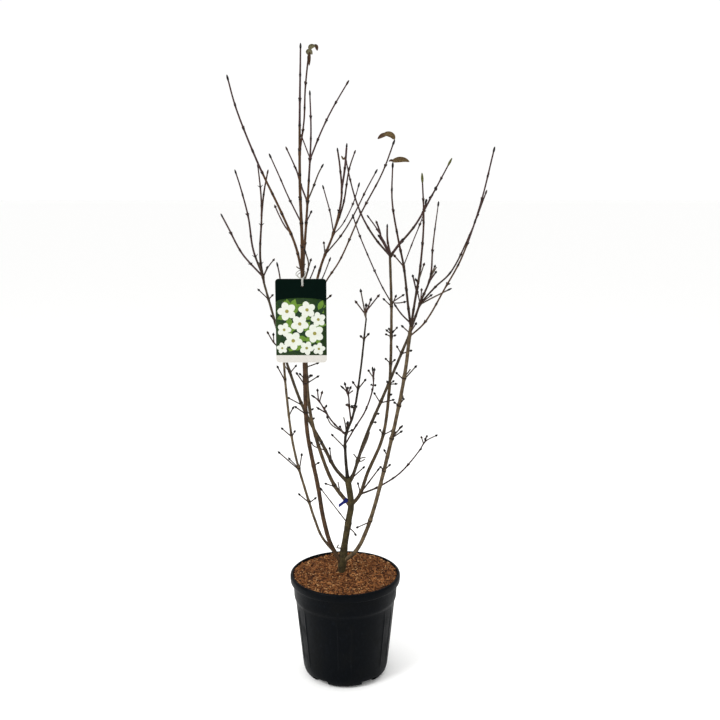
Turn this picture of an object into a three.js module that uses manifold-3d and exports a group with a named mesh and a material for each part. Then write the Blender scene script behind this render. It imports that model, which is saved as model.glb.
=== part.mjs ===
// A bare winter kousa dogwood with several stems, in its nursery pot. Millimetres, +Z up.
// The origin is on the ground under the middle of the pot, with the label on the -Y side.
import * as THREE from 'three';
import { mergeVertices } from 'three/addons/utils/BufferGeometryUtils.js';
import Module from 'manifold-3d';

const wasm = await Module();
wasm.setup();

const CLEARANCE = 0.35;

// The pot, from its feet up
const POT = {
  padRadius: 24,
  feet: 5,
  footRadius: 106,
  footWidth: 8,
  footArc: THREE.MathUtils.degToRad(48),
  ankleRadius: 119,
  ankleHeight: 8,
  bodyFoot: 124.5,
  bodyStart: 24,
  bodyTop: 145,
  bodyEnd: 226,
  collarFoot: 149,
  collarStart: 234,
  collarTop: 151.5,
  rimUnderside: 280,
  rimTop: 303,
  rimRadius: 160,
  rimRound: 5,
  wall: 3,
  floor: 16,
  segments: 36,
  ribPairs: 6,
  ribSpread: THREE.MathUtils.degToRad(7.5),
  ribFoot: 44,
  ribTop: 214,
  ribDepth: 1.2,
  ribWidth: 2.4,
};

// The fill: potting soil, then bark mulch that stands a little higher in the middle
const FILL = {
  slack: 0.5,
  soilTop: 280,
  mulchEdge: 299,
  mulchTop: 305,
  shoulderRadius: 100,
  shoulderHeight: 303.2,
  flatRadius: 36,
};

// Sizes of the plant are read in the upright plane of the trunk, as seen from this eye point.
// A place is [x, height, depth]: spreading it in depth along the line of sight keeps the outline.
const EYE = new THREE.Vector3(43, -2473, 1388);

// How far the plant spreads from front to back, against the depths given below
const FULLNESS = 1.3;

// Bare limbs: the limb each grows on, the height where it leaves it, its radius at foot and tip,
// and its bends and tip
const LIMBS = {
  trunk: {
    radius: [9.6, 8],
    way: [[-13, 284, 0], [-4, 370, 0], [10, 460, 0], [17, 508, 0], [7, 590, 0]],
  },
  stem_inner_left: {
    on: 'trunk', at: 326, radius: [6.8, 4.3],
    way: [[-42, 388, -12], [-63, 468, -20], [-77, 560, -28], [-107, 730, -35], [-112, 900, -38],
      [-116, 1182, -40]],
  },
  stem_outer_left: {
    on: 'stem_inner_left', at: 360, radius: [4.3, 3],
    way: [[-67, 410, -2], [-87, 462, 8], [-104, 518, 14], [-145, 675, 26], [-166, 860, 34],
      [-170, 940, 38]],
  },
  stem_right: {
    on: 'trunk', at: 334, radius: [6.3, 4.3],
    way: [[30, 366, -14], [66, 442, -32], [116, 630, -58], [166, 875, -70], [184, 1026, -74]],
  },
  bough_low_left: {
    on: 'trunk', at: 503, radius: [5.5, 4.1],
    way: [[-29, 564, 4], [-67, 658, 8], [-97, 777, 12], [-107, 900, 10], [-107, 1020, 8]],
  },
  bough_low_right: {
    on: 'trunk', at: 506, radius: [5.4, 3.2],
    way: [[41, 536, 10], [64, 602, 28], [106, 705, 52], [124, 830, 70], [130, 1061, 96],
      [125, 1219, 108]],
  },
  bough_high_left: {
    on: 'trunk', at: 574, radius: [5.2, 3.2],
    way: [[-29, 619, 28], [-60, 681, 52], [-113, 785, 86], [-154, 899, 110], [-201, 1071, 136],
      [-221, 1147, 150]],
  },
  bough_high_right: {
    on: 'trunk', at: 568, radius: [4.9, 3.8],
    way: [[24, 600, 4], [59, 701, 8], [112, 837, 12], [149, 927, 6], [177, 996, 0]],
  },
  leader: {
    on: 'trunk', at: 588, radius: [5.4, 2.5],
    way: [[2, 650, -14], [2, 712, -34], [24, 775, -62], [44, 898, -100], [60, 1048, -135]],
  },
};

// Masses of twigs: each is one stem, which grows on a limb, and the shoots that grow on it.
// A shoot is [what it grows on, height where it leaves that, its bends and its tip], where a number
// is an earlier shoot of the same mass.
const MASSES = {
  twigs_outer_left: [
    ['stem_outer_left', 940, [-173, 1045, 42], [-177, 1162, 38], [-185, 1205, 34]],
    [0, 956, [-196, 980, 26], [-216, 1014, 14]],
    [1, 980, [-198, 1010, 40]],
  ],
  twigs_tall_left: [
    ['stem_inner_left', 1182, [-115, 1260, -44], [-119, 1404, -54], [-118, 1560, -60], [-113, 1778, -62]],
    [0, 1490, [-106, 1582, -72], [-102, 1661, -84], [-92, 1751, -96]],
    [0, 1310, [-153, 1385, -30], [-173, 1432, -20], [-201, 1495, -8]],
  ],
  twigs_upper_left: [
    ['stem_inner_left', 1166, [-133, 1249, -64], [-170, 1338, -86], [-231, 1469, -118], [-286, 1611, -140],
      [-309, 1698, -150]],
    [0, 1291, [-172, 1326, -62], [-189, 1360, -48]],
  ],
  twigs_second_left: [
    ['bough_low_left', 1020, [-113, 1175, 6], [-104, 1300, 18], [-95, 1424, 40], [-88, 1548, 62],
      [-90, 1658, 74]],
    [0, 1478, [-60, 1553, 44], [-32, 1608, 38], [14, 1684, 30]],
    [0, 1482, [-98, 1500, 72], [-115, 1546, 88]],
    [0, 1368, [-84, 1404, 54], [-69, 1442, 66], [-55, 1468, 76]],
    [0, 1366, [-118, 1416, 58], [-127, 1448, 74], [-156, 1513, 100]],
    [0, 1308, [-87, 1345, 0]],
    [0, 1138, [-98, 1197, -8], [-109, 1241, -20]],
    [0, 1144, [-98, 1190, 16], [-90, 1216, 8]],
    [0, 1122, [-92, 1164, 26], [-78, 1197, 36]],
  ],
  twigs_middle_back: [
    ['bough_low_left', 1004, [-89, 1100, 40], [-62, 1200, 72], [-29, 1284, 108], [-7, 1380, 146],
      [-11, 1460, 172], [-18, 1510, 190]],
    [0, 1224, [-56, 1262, 60]],
    [0, 1284, [-38, 1339, 132], [-49, 1380, 152], [-58, 1412, 166]],
    [0, 1400, [2, 1454, 160], [8, 1522, 168]],
    [0, 1282, [-2, 1362, 150], [14, 1454, 196], [31, 1504, 222]],
    [0, 1278, [-6, 1305, 104], [24, 1362, 108], [42, 1419, 112]],
    [0, 1222, [-7, 1279, 82], [27, 1334, 84], [62, 1403, 88], [90, 1454, 90]],
    [0, 1112, [-60, 1161, 68], [-37, 1218, 92]],
  ],
  twigs_middle_front: [
    ['bough_low_left', 980, [-81, 1084, -16], [-51, 1150, -42], [-12, 1210, -72], [45, 1335, -124],
      [103, 1444, -168], [136, 1531, -200]],
    [0, 1084, [-49, 1103, -30], [-34, 1116, -34]],
  ],
  twigs_back_left: [
    ['bough_high_left', 1147, [-230, 1218, 168], [-224, 1332, 206], [-225, 1391, 226], [-232, 1469, 250]],
    [0, 1330, [-216, 1395, 204], [-204, 1453, 196]],
    [0, 1166, [-249, 1239, 156], [-260, 1325, 146], [-280, 1407, 136], [-294, 1453, 128]],
    [0, 1164, [-280, 1229, 186], [-316, 1299, 204], [-335, 1336, 214]],
    [0, 1162, [-208, 1192, 186], [-190, 1215, 200]],
  ],
  twigs_right_inner: [
    ['bough_low_right', 1090, [101, 1143, 76], [61, 1231, 46], [42, 1277, 28], [22, 1334, 6]],
  ],
  twigs_right_top: [
    ['bough_low_right', 1219, [143, 1244, 118], [194, 1306, 142], [245, 1398, 172], [290, 1483, 196]],
    [0, 1228, [86, 1267, 128], [52, 1322, 154], [26, 1390, 184], [4, 1482, 214]],
    [0, 1228, [117, 1308, 168]],
    [0, 1226, [102, 1267, 98], [91, 1280, 90]],
    [3, 1267, [98, 1284, 92], [86, 1318, 84]],
    [0, 1232, [88, 1296, 188], [62, 1332, 226]],
    [0, 1246, [160, 1268, 92]],
    [0, 1337, [224, 1375, 184]],
  ],
  twigs_right_low: [
    ['bough_low_right', 538, [98, 563, 42], [157, 603, 62], [213, 671, 86], [228, 696, 92], [265, 717, 100]],
    [0, 690, [216, 713, 78]],
    [0, 696, [234, 716, 112]],
  ],
  twigs_right_star: [
    ['bough_high_right', 996, [212, 1099, 24], [236, 1162, 38], [242, 1249, 52], [256, 1369, 66]],
    [0, 1100, [213, 1134, 4]],
    [0, 1160, [250, 1198, 66]],
    [0, 1156, [254, 1181, 12]],
    [0, 1098, [250, 1137, 42], [292, 1177, 66], [344, 1284, 104], [386, 1399, 130]],
    [4, 1112, [244, 1116, 18]],
    [4, 1122, [296, 1133, 22]],
  ],
  twigs_right_front: [
    ['stem_right', 1026, [176, 1084, -96], [163, 1192, -134], [148, 1263, -160], [130, 1370, -200],
      [131, 1472, -236]],
    [0, 1190, [133, 1227, -128]],
    [0, 1192, [185, 1254, -132], [217, 1340, -122], [222, 1375, -116]],
    [0, 1036, [157, 1062, -112], [137, 1090, -130]],
  ],
  twigs_right_upright: [
    ['stem_right', 1010, [195, 1100, -60], [206, 1170, -50], [216, 1310, -30], [210, 1444, -12]],
    [0, 1166, [220, 1204, -72]],
    [0, 1106, [196, 1139, -82], [187, 1171, -96]],
  ],
  twigs_far_right: [
    ['stem_right', 994, [222, 1037, -86], [277, 1133, -104], [321, 1216, -116], [368, 1357, -124],
      [404, 1513, -128]],
  ],
  twigs_front_top: [
    ['leader', 1048, [44, 1132, -152]],
    [0, 1059, [28, 1100, -124]],
    [0, 1063, [62, 1090, -160]],
    [0, 1056, [75, 1108, -140]],
    [3, 1072, [98, 1117, -128]],
  ],
  twigs_front_left: [
    ['leader', 714, [-34, 753, -62], [-53, 781, -76], [-74, 816, -88], [-95, 832, -96]],
    [0, 781, [-61, 799, -58]],
    [0, 778, [-80, 796, -64]],
    [0, 816, [-77, 851, -104]],
    [0, 812, [-62, 845, -76]],
    [0, 722, [-40, 748, -44], [-52, 774, -40]],
    [0, 724, [-14, 742, -66], [-6, 768, -72]],
  ],
  twigs_front_cluster: [
    ['leader', 754, [13, 794, -74], [8, 837, -92], [-12, 859, -102]],
    [0, 796, [2, 806, -60]],
    [0, 836, [9, 856, -112]],
    [0, 834, [22, 848, -86]],
  ],
  twigs_front_right: [
    ['leader', 686, [28, 736, -12], [58, 786, -14], [80, 858, -30], [78, 913, -46]],
    [0, 880, [65, 905, -62]],
    [0, 876, [84, 911, -24]],
  ],
};

// Pairs of short side twigs at the nodes of the bare limbs: each starts in a swelling round the limb
const SIDE_TWIGS = {
  side_twigs_outer_left_1: ['stem_outer_left', 517, [-136, 543, 2], [-81, 531, 34]],
  side_twigs_outer_left_2: ['stem_outer_left', 615, [-192, 668, 8], [-122, 664, 30]],
  side_twigs_outer_left_3: ['stem_outer_left', 713, [-182, 738, 44], [-140, 730, 14]],
  side_twigs_outer_left_4: ['stem_outer_left', 875, [-190, 917, 22]],
  side_twigs_inner_left_1: ['stem_inner_left', 777, [-143, 800, -56]],
  side_twigs_inner_left_2: ['stem_inner_left', 860, [-137, 898, -58]],
  side_twigs_low_left_1: ['bough_low_left', 564, [-60, 573, 22]],
  side_twigs_low_left_2: ['bough_low_left', 866, [-70, 888, 30]],
  side_twigs_high_left_1: ['bough_high_left', 637, [-44, 681, 12]],
  side_twigs_high_left_2: ['bough_high_left', 806, [-163, 826, 74]],
  side_twigs_high_left_3: ['bough_high_left', 898, [-133, 919, 130], [-173, 923, 96]],
  side_twigs_high_left_4: ['bough_high_left', 1104, [-240, 1132, 128], [-195, 1117, 156]],
  side_twigs_leader_1: ['leader', 680, [-40, 720, -8]],
  side_twigs_leader_2: ['leader', 851, [20, 873, -74], [61, 879, -104]],
  side_twigs_high_right_1: ['bough_high_right', 590, [58, 624, -10]],
  side_twigs_high_right_2: ['bough_high_right', 809, [81, 841, 34], [142, 819, -8]],
  side_twigs_high_right_3: ['bough_high_right', 953, [144, 974, 24], [190, 960, -18]],
  side_twigs_low_right_1: ['bough_low_right', 717, [98, 733, 34], [137, 730, 76]],
  side_twigs_low_right_2: ['bough_low_right', 918, [112, 938, 62], [143, 935, 98]],
  side_twigs_low_right_3: ['bough_low_right', 1064, [97, 1114, 116], [158, 1114, 84]],
  side_twigs_low_right_4: ['bough_low_right', 546, [36, 577, 40], [100, 620, -10]],
  side_twigs_right_1: ['stem_right', 459, [30, 437, -58]],
  side_twigs_right_2: ['stem_right', 609, [99, 624, -72], [132, 631, -42]],
  side_twigs_right_3: ['stem_right', 705, [160, 735, -76]],
  side_twigs_right_4: ['stem_right', 798, [137, 812, -86], [165, 831, -52]],
  side_twigs_right_5: ['stem_right', 877, [142, 898, -92], [203, 918, -52]],
  side_twigs_trunk: ['trunk', 452, [-72, 560, -66]],
};

// A shoot is this thick at its tip, and thicker at its foot by a part of its length
const TWIG_TIP = 1.7;
const TWIG_GROWTH = 0.0042;
const BUD = { length: 14, swell: 1.4, widest: 0.4, end: 0.35 };
const NODE = { length: 12, swell: 1.3 };

// Short spurs grow in opposite pairs at the nodes of long shoots, each pair turned across the last
const SPUR = {
  seed: 20,
  chance: 0.22,
  shortest: 7,
  longest: 12,
  lean: THREE.MathUtils.degToRad(44),
  foot: 1.7,
};

// How much thicker the trunk is at a rise above its foot: it swells where the lowest stems leave it
const ROOT_FLARE = [[0, 1.4], [20, 1], [40, 2.4], [57, 3.4], [72, 2.4], [90, 1], [115, 0.2]];

const SIDES = { trunk: 10, bough: 6, shoot: 4, twig: 3 };
const LONG_SHOOT = 160;
const LIMB_STEP = 60;
const SHOOT_STEP = 60;
const UP = new THREE.Vector3(0, 0, 1);
const ACROSS = new THREE.Vector3(1, 0, 0);

// The card hangs by a tie through its hole, which goes round the inner left stem
const CARD = { width: 137, height: 227, thick: 1.2, corner: 9, centre: [-120, 1042, -58] };
const HOLE = { radius: 3.2, fromLeft: 73, fromTop: 19 };
const TIE = { radius: 1, height: 1162, loop: 9, segments: 60, sides: 5 };

// The marker is a band round the foot of the low left bough, with a free end
const TAG = {
  height: 520,
  band: 11,
  thick: 1,
  free: 24,
  width: 9,
  slope: THREE.MathUtils.degToRad(32),
};

const COLOURS = {
  pot: [0x14181e, 0.5],
  soil: [0x3a2a1e, 0.95],
  mulch: [0x8c5537, 0.95],
  trunk: [0x555037, 0.85],
  bough: [0x6e5a41, 0.8],
  twig: [0x4a3230, 0.7],
  card: [0xf0f2ec, 0.4],
  tie: [0xd8d8d4, 0.5],
  tag: [0x0a146e, 0.4],
};

// A place in the plane of the trunk moves along the line of sight to its depth
function spread([x, height, depth]) {
  const y = depth * FULLNESS;
  const reach = (y - EYE.y) / -EYE.y;
  return new THREE.Vector3(EYE.x + (x - EYE.x) * reach, y, EYE.z + (height - EYE.z) * reach);
}

// The height that a point of the plant has in the plane of the trunk
function outlineHeight(point) {
  return EYE.z + (point.z - EYE.z) * -EYE.y / (point.y - EYE.y);
}

function toSolid(geometry) {
  geometry.deleteAttribute('normal');
  geometry.deleteAttribute('uv');
  const merged = mergeVertices(geometry, 1e-4);
  const vertProperties = Float32Array.from(merged.getAttribute('position').array);
  const triVerts = Uint32Array.from(merged.getIndex().array);
  return new wasm.Manifold(new wasm.Mesh({ numProp: 3, vertProperties, triVerts }));
}

function join(solids) {
  return solids.reduce((whole, solid) => whole.add(solid));
}

// A repeatable row of numbers from 0 to 1
function seeded(seed) {
  let state = seed;
  return () => {
    state = (state * 16807) % 2147483647;
    return state / 2147483647;
  };
}

function largest(solid) {
  return solid.decompose().reduce((best, piece) => (piece.volume() > best.volume() ? piece : best));
}

// A limb is a row of rings, each a centre and a radius, at parts of the way along a smooth curve
function limbRings(curve, stations) {
  return stations.map(([part, radius]) => ({ centre: curve.getPointAt(part), radius }));
}

// Where a limb first reaches a height in its outline
function ringAt(rings, height) {
  const next = rings.findIndex(({ centre }) => outlineHeight(centre) >= height);
  if (next < 1) return rings.at(next);
  const [below, above] = [rings[next - 1], rings[next]];
  const low = outlineHeight(below.centre);
  const part = (height - low) / (outlineHeight(above.centre) - low);
  return {
    centre: below.centre.clone().lerp(above.centre, part),
    radius: THREE.MathUtils.lerp(below.radius, above.radius, part),
    tangent: above.centre.clone().sub(below.centre).normalize(),
  };
}

// A closed tube: a cylinder whose rings are carried along the limb without twisting. A margin
// makes it thicker and longer all round.
function tube(rings, sides, margin = 0) {
  const rows = rings.length - 1;
  const extra = margin / Math.cos(Math.PI / sides);
  const side = new THREE.Vector3();
  const frames = rings.map(({ centre, radius }, row) => {
    const tangent = rings[Math.min(row + 1, rows)].centre.clone();
    tangent.sub(rings[Math.max(row - 1, 0)].centre).normalize();
    if (row === 0) side.crossVectors(tangent, Math.abs(tangent.x) > 0.9 ? UP : ACROSS);
    side.addScaledVector(tangent, -side.dot(tangent)).normalize();
    const front = new THREE.Vector3().crossVectors(tangent, side);
    const middle = centre.clone();
    if (row === 0) middle.addScaledVector(tangent, -margin);
    if (row === rows) middle.addScaledVector(tangent, margin);
    return { middle, side: side.clone(), front, radius: radius + extra };
  });
  const geometry = new THREE.CylinderGeometry(1, 1, 1, sides, rows);
  const position = geometry.getAttribute('position');
  for (let i = 0; i < position.count; i += 1) {
    const frame = frames[Math.round((position.getY(i) + 0.5) * rows)];
    const point = frame.middle.clone();
    point.addScaledVector(frame.front, position.getX(i) * frame.radius);
    point.addScaledVector(frame.side, position.getZ(i) * frame.radius);
    position.setXYZ(i, point.x, point.y, point.z);
  }
  return toSolid(geometry);
}

// Even steps along a bare limb, from its foot radius to its tip radius, with a flare at its root
function limbStations(curve, [foot, tip], flare = []) {
  const length = curve.getLength();
  const steps = Math.max(3, Math.round(length / LIMB_STEP));
  const thickness = (part) => THREE.MathUtils.lerp(foot, tip, part);
  const parts = Array.from({ length: steps + 1 }, (_, step) => step / steps);
  const roots = flare.map(([rise, extra]) => [rise / length, thickness(rise / length) + extra]);
  const flareEnd = flare.length ? roots.at(-1)[0] : -1;
  const rest = parts.filter((part) => part > flareEnd);
  return [...roots, ...rest.map((part) => [part, thickness(part)])];
}

// A shoot thins to its tip, which carries a pointed bud
function shootStations(curve) {
  const length = curve.getLength();
  const foot = TWIG_TIP + TWIG_GROWTH * length;
  const budFoot = 1 - Math.min(BUD.length / length, 0.5);
  const steps = Math.max(1, Math.round((budFoot * length) / SHOOT_STEP));
  const stations = [];
  for (let step = 0; step <= steps; step += 1) {
    const part = (step / steps) * budFoot;
    stations.push([part, THREE.MathUtils.lerp(foot, TWIG_TIP, part)]);
  }
  stations.push([budFoot + (1 - budFoot) * BUD.widest, TWIG_TIP * BUD.swell]);
  stations.push([1, BUD.end]);
  return stations;
}

const finished = [];
const group = new THREE.Group();

function addMesh(name, solid, [color, roughness]) {
  const { vertProperties, triVerts } = solid.getMesh();
  const geometry = new THREE.BufferGeometry();
  geometry.setAttribute('position', new THREE.BufferAttribute(Float32Array.from(vertProperties), 3));
  geometry.setIndex(new THREE.BufferAttribute(Uint32Array.from(triVerts), 1));
  geometry.computeVertexNormals();
  const material = new THREE.MeshStandardMaterial({ color, roughness, metalness: 0, flatShading: true });
  const mesh = new THREE.Mesh(geometry, material);
  mesh.name = name;
  group.add(mesh);
}

function boxesMeet(one, other) {
  const meetAlong = (axis) => one.min[axis] < other.max[axis] && other.min[axis] < one.max[axis];
  return [0, 1, 2].every(meetAlong);
}

function touches(solid, { room, box }) {
  return boxesMeet(solid.boundingBox(), box) && !solid.intersect(room).isEmpty();
}

// Joins pieces that can each be made with a margin, cuts them clear of all that stands already,
// and keeps the room that they take up
function addClear(name, pieces, look) {
  const solid = join(pieces.map((piece) => piece(0)));
  const near = finished.filter((other) => touches(solid, other));
  const clear = largest(near.reduce((rest, other) => rest.subtract(other.room), solid));
  finished.push(roomOf(pieces));
  addMesh(name, clear, look);
}

// The room that pieces take up with their clearance
function roomOf(pieces) {
  const room = join(pieces.map((piece) => piece(CLEARANCE)));
  return { room, box: room.boundingBox() };
}

const limbs = {};
const random = seeded(SPUR.seed);

function addLimb(name, { on, at, radius, way }) {
  const foot = on ? [ringAt(limbs[on], at).centre] : [];
  const curve = new THREE.CatmullRomCurve3([...foot, ...way.map(spread)]);
  const rings = limbRings(curve, limbStations(curve, radius, on ? [] : ROOT_FLARE));
  limbs[name] = rings;
  const [sides, look] = on ? [SIDES.bough, COLOURS.bough] : [SIDES.trunk, COLOURS.trunk];
  addClear(name, [(margin) => tube(rings, sides, margin)], look);
}

// A shoot from a place on a limb through its bends to its tip
function shoot(foot, way) {
  const curve = new THREE.CatmullRomCurve3([foot, ...way.map(spread)]);
  const rings = limbRings(curve, shootStations(curve));
  const long = curve.getLength() > LONG_SHOOT;
  const sides = long ? SIDES.shoot : SIDES.twig;
  return { rings, long, solid: (margin) => tube(rings, sides, margin) };
}

// The stem of a mass and the shoots that grow on it
function growShoots(rows) {
  const shoots = [];
  for (const [on, height, ...way] of rows) {
    const parent = typeof on === 'number' ? shoots[on].rings : limbs[on];
    shoots.push(shoot(ringAt(parent, height).centre, way));
  }
  return shoots;
}

// A straight spur with its bud, out of the middle of its shoot
function spur(foot, direction, length) {
  const along = (part) => foot.clone().addScaledVector(direction, length * part);
  const rings = [
    { centre: foot, radius: SPUR.foot },
    { centre: along(0.6), radius: TWIG_TIP * BUD.swell },
    { centre: along(1), radius: BUD.end },
  ];
  return (margin) => tube(rings, SIDES.twig, margin);
}

// The pairs of spurs of one long shoot. A pair comes by chance at each ring between foot and bud.
function growSpurs(rings) {
  const spurs = [];
  let turn = random() * Math.PI;
  for (let node = 1; node < rings.length - 3; node += 1) {
    const { centre } = rings[node];
    const tangent = rings[node + 1].centre.clone().sub(centre).normalize();
    const side = new THREE.Vector3().crossVectors(tangent, ACROSS).normalize();
    side.applyAxisAngle(tangent, turn);
    turn += Math.PI / 2;
    const grows = random() < SPUR.chance;
    for (const sign of [-1, 1]) {
      const length = THREE.MathUtils.lerp(SPUR.shortest, SPUR.longest, random());
      const direction = tangent.clone().multiplyScalar(Math.cos(SPUR.lean));
      direction.addScaledVector(side, sign * Math.sin(SPUR.lean));
      if (grows) spurs.push(spur(centre, direction, length));
    }
  }
  return spurs;
}

// A mass is its shoots and the spurs that stay in its space and touch no limb and no other mass
function addMass({ name, shoots, space }, others) {
  const stands = [...finished, ...others.map(({ room }) => room)];
  const grown = shoots.filter(({ long }) => long).flatMap(({ rings }) => growSpurs(rings));
  const spurs = grown.filter((piece) => {
    const solid = piece(0);
    const { min, max } = solid.boundingBox();
    const inside = space.containsPoint(new THREE.Vector3(...min))
      && space.containsPoint(new THREE.Vector3(...max));
    return inside && !stands.some((other) => touches(solid, other));
  });
  addClear(name, [...shoots.map(({ solid }) => solid), ...spurs], COLOURS.twig);
}

// A short band round a limb, at a height of its outline
function band(limb, height, length, thickness) {
  const { centre, radius, tangent } = ringAt(limb, height);
  const rings = [-length / 2, length / 2].map((along) => ({
    centre: centre.clone().addScaledVector(tangent, along),
    radius: radius + thickness,
  }));
  return (margin) => tube(rings, SIDES.bough, margin);
}

// Side twigs start inside the lower half of their swelling and leave it through its upper half
function addSideTwigs(name, [on, height, ...tips]) {
  const foot = ringAt(limbs[on], height - NODE.length / 3).centre;
  const twigs = tips.map((tip) => shoot(foot, [tip]).solid);
  addClear(name, [band(limbs[on], height, NODE.length, NODE.swell), ...twigs], COLOURS.twig);
}

// A turned solid about the pot's axis, from [radius, height] pairs
function lathe(outline) {
  const points = outline.map(([radius, height]) => new THREE.Vector2(radius, height));
  const geometry = new THREE.LatheGeometry(points, POT.segments);
  geometry.rotateX(Math.PI / 2);
  return toSolid(geometry);
}

// The pot's wall from its pad up the outside, over the rim and down inside to its floor
function potWall() {
  const { padRadius, footRadius, footWidth, ankleRadius, ankleHeight, wall, floor } = POT;
  const { bodyFoot, bodyStart, bodyTop, bodyEnd, collarFoot, collarStart, collarTop } = POT;
  const { rimUnderside, rimTop, rimRadius, rimRound } = POT;
  return lathe([
    [0, 0], [padRadius, 0], [padRadius, floor],
    [footRadius - footWidth, floor], [footRadius - footWidth, 0], [footRadius, 0],
    [ankleRadius, ankleHeight], [bodyFoot, bodyStart], [bodyTop, bodyEnd],
    [collarFoot, collarStart], [collarTop, rimUnderside],
    [rimRadius - rimRound, rimUnderside], [rimRadius, rimUnderside + rimRound],
    [rimRadius, rimTop - rimRound], [rimRadius - rimRound, rimTop],
    [collarTop + wall / 2, rimTop], [collarTop - wall, rimUnderside + rimRound],
    [collarFoot - wall, collarStart], [bodyTop - wall, bodyEnd], [bodyFoot - wall, bodyStart],
    [ankleRadius - wall, floor + wall], [0, floor + wall],
  ]);
}

// One opening between two feet: a sector of a ring, cut from below
function footGap(index) {
  const turn = (Math.PI * 2) / POT.feet;
  const start = -Math.PI / 2 + turn * index + POT.footArc / 2;
  const end = start + turn - POT.footArc;
  const reach = POT.footWidth * 3;
  const sector = new THREE.Shape();
  sector.absarc(0, 0, POT.footRadius + reach, start, end, false);
  sector.absarc(0, 0, POT.footRadius - reach, end, start, true);
  const geometry = new THREE.ExtrudeGeometry(sector, {
    depth: POT.floor * 2, bevelEnabled: false, curveSegments: 4,
  });
  geometry.translate(0, 0, -POT.floor);
  return toSolid(geometry);
}

// One edge of an upright panel: a low rib that follows the taper of the wall
function rib(pair, side) {
  const turn = (Math.PI * 2 * pair) / POT.ribPairs - Math.PI / 2 + side * POT.ribSpread;
  const { bodyFoot, bodyStart, bodyTop, bodyEnd, ribFoot, ribTop, ribDepth, ribWidth } = POT;
  const radiusAt = (height) => THREE.MathUtils.mapLinear(height, bodyStart, bodyEnd, bodyFoot, bodyTop);
  const foot = new THREE.Vector3(radiusAt(ribFoot), 0, ribFoot);
  const top = new THREE.Vector3(radiusAt(ribTop), 0, ribTop);
  const middle = foot.clone().add(top).divideScalar(2);
  const geometry = new THREE.BoxGeometry(ribDepth * 2, ribWidth, foot.distanceTo(top));
  geometry.rotateY(Math.atan2(top.x - foot.x, top.z - foot.z));
  geometry.translate(middle.x, 0, middle.z);
  geometry.rotateZ(turn);
  return toSolid(geometry);
}

function addPot() {
  const ribs = [];
  for (let pair = 0; pair < POT.ribPairs; pair += 1) ribs.push(rib(pair, -1), rib(pair, 1));
  let pot = join([potWall(), ...ribs]);
  for (let index = 0; index < POT.feet; index += 1) pot = pot.subtract(footGap(index));
  addMesh('pot', pot, COLOURS.pot);
}

function addFill() {
  const { ankleRadius, bodyFoot, bodyStart, bodyTop, bodyEnd, collarFoot, collarStart } = POT;
  const { soilTop, mulchEdge, mulchTop, shoulderRadius, shoulderHeight, flatRadius } = FILL;
  const inside = POT.wall + FILL.slack;
  const floor = POT.floor + POT.wall + CLEARANCE;
  const collarAt = (height) => (
    THREE.MathUtils.mapLinear(height, collarStart, POT.rimUnderside, collarFoot, POT.collarTop) - inside
  );
  addMesh('potting_soil', lathe([
    [0, floor], [ankleRadius - inside, floor], [bodyFoot - inside, bodyStart],
    [bodyTop - inside, bodyEnd], [collarFoot - inside, collarStart],
    [collarAt(soilTop), soilTop], [0, soilTop],
  ]), COLOURS.soil);

  const foot = soilTop + CLEARANCE;
  const mulch = (margin) => lathe([
    [0, foot], [collarAt(foot), foot], [collarAt(mulchEdge), mulchEdge + margin],
    [shoulderRadius, shoulderHeight + margin], [flatRadius, mulchTop + margin], [0, mulchTop + margin],
  ]);
  finished.push(roomOf([mulch]));
  addMesh('bark_mulch', mulch(0), COLOURS.mulch);
}

function addCard() {
  const { width, height, thick, corner } = CARD;
  const left = -width / 2;
  const foot = -height / 2;
  const card = new THREE.Shape();
  card.moveTo(left + corner, foot);
  card.absarc(-left - corner, foot + corner, corner, -Math.PI / 2, 0, false);
  card.absarc(-left - corner, -foot - corner, corner, 0, Math.PI / 2, false);
  card.absarc(left + corner, -foot - corner, corner, Math.PI / 2, Math.PI, false);
  card.absarc(left + corner, foot + corner, corner, Math.PI, Math.PI * 1.5, false);
  const hole = new THREE.Path();
  hole.absarc(left + HOLE.fromLeft, -foot - HOLE.fromTop, HOLE.radius, 0, Math.PI * 2, true);
  card.holes.push(hole);
  const geometry = new THREE.ExtrudeGeometry(card, { depth: thick, bevelEnabled: false, curveSegments: 5 });
  const middle = spread(CARD.centre);
  geometry.translate(0, 0, -thick / 2);
  geometry.rotateX(Math.PI / 2);
  geometry.translate(middle.x, middle.y, middle.z);
  const solid = toSolid(geometry);
  addMesh('label_card', solid, COLOURS.card);
}

// A torus carried round a closed curve
function ring(curve, radius) {
  const geometry = new THREE.TorusGeometry(1, 0.25, TIE.sides, TIE.segments);
  const position = geometry.getAttribute('position');
  const frames = curve.computeFrenetFrames(TIE.segments, true);
  for (let i = 0; i < position.count; i += 1) {
    const x = position.getX(i);
    const y = position.getY(i);
    const turn = (Math.atan2(y, x) / (Math.PI * 2) + 1) % 1;
    const row = Math.round(turn * TIE.segments) % TIE.segments;
    const outward = (Math.hypot(x, y) - 1) / 0.25;
    const up = position.getZ(i) / 0.25;
    const point = curve.getPointAt(row / TIE.segments);
    point.addScaledVector(frames.normals[row], outward * radius);
    point.addScaledVector(frames.binormals[row], up * -radius);
    position.setXYZ(i, point.x, point.y, point.z);
  }
  return toSolid(geometry);
}

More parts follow.
